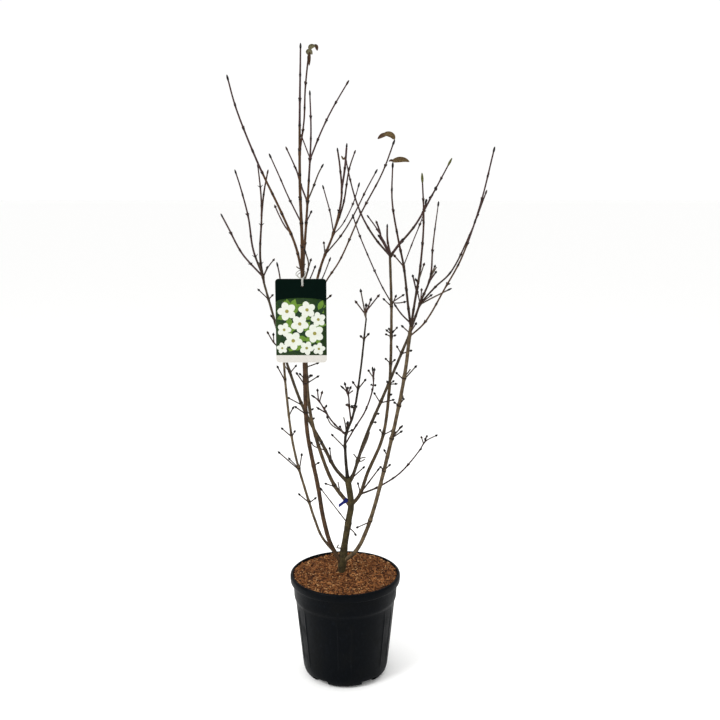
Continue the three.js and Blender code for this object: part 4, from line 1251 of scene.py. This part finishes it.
def punched(shape):
    """Makes a flat face into one with the hole for the tie."""
    outline = shape.edges[:]
    bmesh.ops.delete(shape, geom=shape.faces[:], context="FACES_ONLY")
    middle = (HOLE_FROM_LEFT - CARD_WIDTH / 2, CARD_HEIGHT / 2 - HOLE_FROM_TOP, 0)
    hole = bmesh.ops.create_circle(shape, segments=24, radius=HOLE_RADIUS,
                                   matrix=Matrix.Translation(middle))
    rim = {edge for vert in hole["verts"] for edge in vert.link_edges}
    bmesh.ops.triangle_fill(shape, use_beauty=True, edges=[*outline, *rim])
    return shape


def print_finish(name, light, dark, scale=90.0, gloss=0.12):
    """Glossy printed plastic."""
    finish = Finish(name)
    return finish.surface({
        "Base Color": finish.blend(finish.grain(scale, 3.0), dark, light),
        "Roughness": 0.24 + finish.grain(40.0) * 0.1,
        "Normal": finish.bump(finish.grain(30.0, 2.0), 0.0006, 0.3),
        "Specular IOR Level": gloss,
    })


def printed_disc(kind, size, turn, spot, out=0.0):
    """A flat round petal or heart or a pointed leaf, turned about a spot that it may stand out from."""
    disc = bmesh.new()
    bmesh.ops.create_circle(disc, cap_ends=True, segments=DISC_SIDES[kind], radius=1)
    if kind == "leaf":
        for vert in disc.verts:
            vert.co.y *= math.sqrt(max(0, 1 - vert.co.x ** 2))
    place = Matrix.Translation(spot) @ Matrix.Rotation(turn, 4, "Z") @ Matrix.Translation((out, 0, 0))
    bmesh.ops.transform(disc, matrix=place @ Matrix.Diagonal((*size, 1, 1)), verts=disc.verts[:])
    return disc


def add_layer(name, shape, ink, *look, sharp=30, **more):
    add_piece(name, shape, print_finish(ink, *look, **more), sharp=sharp)


front = CARD_THICK / 2
card = hang(punched(card_face(0)), -CARD_THICK / 2, CARD_THICK)
card_plastic = print_finish("card_plastic", tone(190, 187, 181), tone(180, 177, 171))
add_piece("card_sheet", card, card_plastic, ["label_card"], sharp=30)
ground = card_face(PRINT_INSET, STRIP_HEIGHT, BAND_DEPTH - BAND_ARCH - GROUND_TUCK)
add_layer("card_green_ground", hang(ground, front, PRINT_THICK), "card_green",
          tone(40, 64, 26), tone(16, 34, 16), sharp=None)

picture = seeded(PICTURE_SEED)
picture_low = STRIP_HEIGHT - CARD_HEIGHT / 2 + GROUND_TUCK
picture_high = CARD_HEIGHT / 2 - BAND_DEPTH + PICTURE_TUCK
leaf_shades = {"bright": Sheaf(), "dark": Sheaf()}
for number in range(PICTURE_LEAVES):
    leaf_length = between(*PICTURE_LEAF_LENGTH, next(picture))
    reach = CARD_WIDTH / 2 - PRINT_INSET - leaf_length / 2
    spot = (between(-reach, reach, next(picture)),
            between(picture_low + leaf_length / 2, picture_high - leaf_length / 2, next(picture)), 0)
    shade = "bright" if next(picture) < 0.5 else "dark"
    size = (leaf_length / 2, leaf_length * PICTURE_LEAF_BREADTH)
    flat = printed_disc("leaf", size, math.tau * next(picture), spot)
    leaf_shades[shade].add(hang(flat, front + PRINT_THICK * (1 + number / PICTURE_LEAVES), PRINT_THICK))
add_layer("card_bright_leaves", leaf_shades["bright"], "card_leaf_bright",
          tone(104, 132, 48), tone(56, 92, 30), 160.0)
add_layer("card_dark_leaves", leaf_shades["dark"], "card_leaf_dark",
          tone(30, 56, 30), tone(10, 28, 16), 160.0)

petals = Sheaf()
hearts = Sheaf()
for number, (across, up, size) in enumerate(BLOSSOMS):
    first = math.tau * next(picture)
    spot = (across * MM, up * MM, 0)
    size *= MM
    lift = front + PRINT_THICK * (BLOSSOM_LAYER + number / len(BLOSSOMS))
    for petal in range(PETALS):
        petal_size = [size * part for part in PETAL_SIZE]
        turn = first + math.tau * petal / PETALS
        flat = printed_disc("petal", petal_size, turn, spot, size * PETAL_REACH)
        petals.add(hang(flat, lift + PRINT_THICK * PETAL_STEP * petal, PRINT_THICK))
    heart = printed_disc("heart", (size * HEART_SIZE, size * HEART_SIZE), 0, spot)
    hearts.add(hang(heart, lift + PRINT_THICK, PRINT_THICK * HEART_THICK))
add_layer("card_blossoms", petals, "card_white", tone(200, 202, 196), tone(184, 188, 174))
add_layer("card_blossom_hearts", hearts, "card_olive_yellow", tone(150, 142, 72), tone(96, 94, 40), 400.0)

band = card_face(PRINT_INSET)
edge_level = CARD_HEIGHT / 2 - BAND_DEPTH
cut_card(band, -edge_level, 1)
bmesh.ops.rotate(band, cent=(0, 0, 0), matrix=Matrix.Rotation(math.pi, 3, "Z"), verts=band.verts[:])
foot_edges = [edge for edge in band.edges
              if all(abs(vert.co.y - edge_level) < MERGE_REACH * 10 for vert in edge.verts)]
bmesh.ops.subdivide_edges(band, edges=foot_edges, cuts=BAND_CUTS)
for vert in band.verts:
    if abs(vert.co.y - edge_level) < MERGE_REACH * 10:
        vert.co.y += BAND_ARCH * math.sqrt(max(0, 1 - (vert.co.x / (CARD_WIDTH / 2)) ** 2))
add_layer("card_dark_band", hang(punched(band), front + PRINT_THICK * BAND_LAYER, PRINT_THICK),
          "card_band", tone(1, 14, 9), tone(0, 8, 5), gloss=0.03)


# The tie is a loop of thin pale plastic cord, wound twice through the card's hole and round the back
# of the inner left stem. A ring is bent along it.
TIE_RADIUS = 0.00125
TIE_HEIGHT = 1162
TIE_TURNS = [
    # how far aside it passes the hole, how far it stands off the stem on the right and on the left,
    # how high it goes behind the stem, and how far behind it
    (-0.00135, 0.0085, 0.014, 0.016, 0), (0.00135, 0.0068, 0.0095, 0.010, 0.0005),
]
# forward and up from the hole: the cord goes up in front of the card, and comes back down behind it
TIE_UP = [(0, 0), (-0.003, 0.001), (-0.0036, 0.007), (-0.003, 0.016)]
TIE_DOWN = [(0.0034, 0.016), (0.0036, 0.007), (0.003, 0.001)]
TIE_STEPS = 320
TIE_SIDES = 10
RING_TUBE = 0.25
STEM_CLEARANCE = 0.00035
HOLE_CLEARANCE = 0.0007


def closed_tube(knots, radius, steps, sides):
    """A ring turned flat, then carried round a closed curve with its twist shared out."""
    points = smooth_path([knots[-1], *knots, knots[0], knots[1]])
    loop = Path(points[CURVE_STEPS:-CURVE_STEPS - 1])
    places = [loop.at(loop.length * row / steps)[0] for row in range(steps)]
    frames = carried([places[-1], *places, places[0], places[1]], [radius] * (steps + 3))[1:]
    spare = frames[0].col[0].xyz.angle(frames[steps].col[0].xyz)
    ahead = frames[0].col[2].xyz
    if frames[steps].col[0].xyz.cross(frames[0].col[0].xyz).dot(ahead) < 0:
        spare = -spare
    shape = bmesh.new()
    across = Matrix.Translation((1, 0, 0)) @ Matrix.Rotation(math.pi / 2, 4, "X")
    bmesh.ops.create_circle(shape, segments=sides, radius=RING_TUBE, matrix=across)
    bmesh.ops.spin(shape, geom=shape.verts[:] + shape.edges[:], cent=(0, 0, 0), axis=(0, 0, 1),
                   angle=math.tau, steps=steps, use_merge=True)
    for vert in shape.verts:
        row = round(math.atan2(vert.co.y, vert.co.x) / math.tau * steps) % steps
        section = Vector((vert.co.xy.length - 1, vert.co.z, 0)) / RING_TUBE
        vert.co = frames[row] @ Matrix.Rotation(spare * row / steps, 4, "Z") @ section
    return shape


tie_stem = limbs["stem_inner_left"]
tie_at = tie_stem.reaching(TIE_HEIGHT)
stem_place = tie_stem.at(tie_at)[0]
behind = tie_stem.radius(tie_at) + TIE_RADIUS + STEM_CLEARANCE
hole_above = CARD_HEIGHT / 2 - HOLE_FROM_TOP + HOLE_CLEARANCE
hole_place = CARD_MIDDLE + Vector((HOLE_FROM_LEFT - CARD_WIDTH / 2, 0, hole_above))
tie_knots = []
for aside, right, left, lift, back in TIE_TURNS:
    tie_knots += [hole_place + Vector((aside, *step)) for step in TIE_UP]
    tie_knots += [stem_place + Vector(step) for step in (
        (right, -0.006, lift * 0.3), (right, 0.002, lift * 0.8), (0, behind + back, lift + 0.002),
        (-left * 0.7, 0.002, lift), (-left - 0.003, -0.003, lift * 0.45), (-left * 0.7, -0.008, -0.001))]
    tie_knots += [hole_place + Vector((aside, *step)) for step in TIE_DOWN]
tie_finish = Finish("tie_plastic")
tie_finish.surface({
    "Base Color": tie_finish.blend(tie_finish.grain(300.0), tone(176, 176, 170), tone(140, 140, 134)),
    "Roughness": 0.45,
    "Normal": tie_finish.bump(tie_finish.grain(900.0), 0.0003, 0.5),
})
tie = closed_tube(tie_knots, TIE_RADIUS, TIE_STEPS, TIE_SIDES)
add_piece("card_tie", tie, tie_finish, ["label_tie"])


# The marker is a strip of blue plastic tape, wound once round the foot of the low left bough and
# folded over, with its end left free.
TAG_HEIGHT = 520
TAG_BAND = 0.011
TAG_THICK = 0.0008
TAG_LENGTH = 0.024
TAG_SLOPE = math.radians(32)
TAG_ROWS = 24
TAG_SIDES = 28
TAG_SLACK = 1.04
TAG_WAVES = (180, 0.0005)
TAG_BULGE = 0.0035
TAG_LIFT = 0.001
TAG_TAPER = 0.12
TAG_OFF = 0.0005


def tape_band(stem, at, width):
    """A short sleeve round a limb, a little wavy along its two edges."""
    points = [stem.at(at + width * part)[0] for part in (-0.5, -0.25, 0, 0.25, 0.5)]
    radii = [stem.radius(at) * TAG_SLACK + TAG_THICK] * len(points)
    sleeve = tube(points, radii, TAG_SIDES)
    warp(sleeve, *TAG_WAVES)
    return sleeve


def tape_end(start):
    """The free end: a narrow strip that droops to the left and curls a little."""
    shape = bmesh.new()
    bmesh.ops.create_grid(shape, x_segments=TAG_ROWS, y_segments=3, size=1)
    for vert in shape.verts:
        part = (vert.co.x + 1) / 2
        along = TAG_LENGTH * part
        down = -along * math.sin(TAG_SLOPE)
        out = -TAG_BULGE * math.sin(part * math.pi) - TAG_LIFT
        height = vert.co.y * TAG_BAND / 2 * (1 - TAG_TAPER * part)
        vert.co = Vector((-along * math.cos(TAG_SLOPE), out, down + height + TAG_LIFT * math.sin(part * 5)))
    bmesh.ops.translate(shape, vec=start, verts=shape.verts[:])
    return thickened(shape, TAG_THICK)


tag_stem = limbs["bough_low_left"]
tag_at = tag_stem.reaching(TAG_HEIGHT)
tag_place = tag_stem.at(tag_at)[0]
tag = Sheaf()
tag.add(tape_band(tag_stem, tag_at, TAG_BAND))
tag.add(tape_end(tag_place - Vector((0, tag_stem.radius(tag_at) + TAG_OFF, 0))))
tape = Finish("blue_tape")
tape.surface({
    "Base Color": tape.blend(tape.grain(200.0), tone(8, 22, 110), tone(4, 10, 62)),
    "Roughness": 0.3 + tape.grain(120.0) * 0.12,
    "Specular IOR Level": 0.15,
    "Normal": tape.bump(tape.grain(350.0), 0.0004, 0.6),
})
add_piece("marker_tape", tag, tape, ["marker_tag"], sharp=40)


# The studio is a plain pale floor under soft lights, the stronger one on the left, with the camera at
# eye height.
EYE_TILT = math.radians(79.55)
LENS, SENSOR = 45, 36
FLOOR_SIZE = 400.0
SKY_STRENGTH = 1.02
AIM = Vector((0, 0, 0.8))
floor_mesh = bpy.data.meshes.new("studio_floor")
floor_shape = bmesh.new()
bmesh.ops.create_grid(floor_shape, x_segments=1, y_segments=1, size=FLOOR_SIZE / 2)
floor_shape.to_mesh(floor_mesh)
floor_shape.free()
floor = bpy.data.objects.new("studio_floor", floor_mesh)
bpy.context.scene.collection.objects.link(floor)
floor_finish = Finish("pale_floor").surface({"Base Color": tone(251, 251, 250), "Roughness": 0.9})
floor_mesh.materials.append(floor_finish.material)

LIGHTS = {
    # where each stands, its size, its power in watts
    "key_left": ((-2.6, -2.2, 3.0), 1.6, 110),
    "fill_right": ((2.8, -2.0, 2.0), 2.4, 15),
    "top": ((0.2, 0.4, 3.8), 2.4, 30),
}
for light_name, (light_place, light_size, power) in LIGHTS.items():
    lamp = bpy.data.lights.new(light_name, "AREA")
    lamp.shape = "DISK"
    lamp.size = light_size
    lamp.energy = power
    light = bpy.data.objects.new(light_name, lamp)
    light.location = light_place
    light.rotation_euler = (AIM - Vector(light_place)).to_track_quat("-Z", "Y").to_euler()
    bpy.context.scene.collection.objects.link(light)

world = bpy.data.worlds.new("studio")
world.use_nodes = True
sky = world.node_tree.nodes["Background"].inputs
sky["Color"].default_value = tone(255, 255, 255)
sky["Strength"].default_value = SKY_STRENGTH
bpy.context.scene.world = world
bpy.context.scene.view_settings.view_transform = "Standard"

lens = bpy.data.cameras.new("photo_camera")
lens.sensor_width = SENSOR
lens.lens = LENS
camera = bpy.data.objects.new("photo_camera", lens)
camera.location = EYE
camera.rotation_euler = (EYE_TILT, 0, 0)
bpy.context.scene.collection.objects.link(camera)
bpy.context.scene.camera = camera
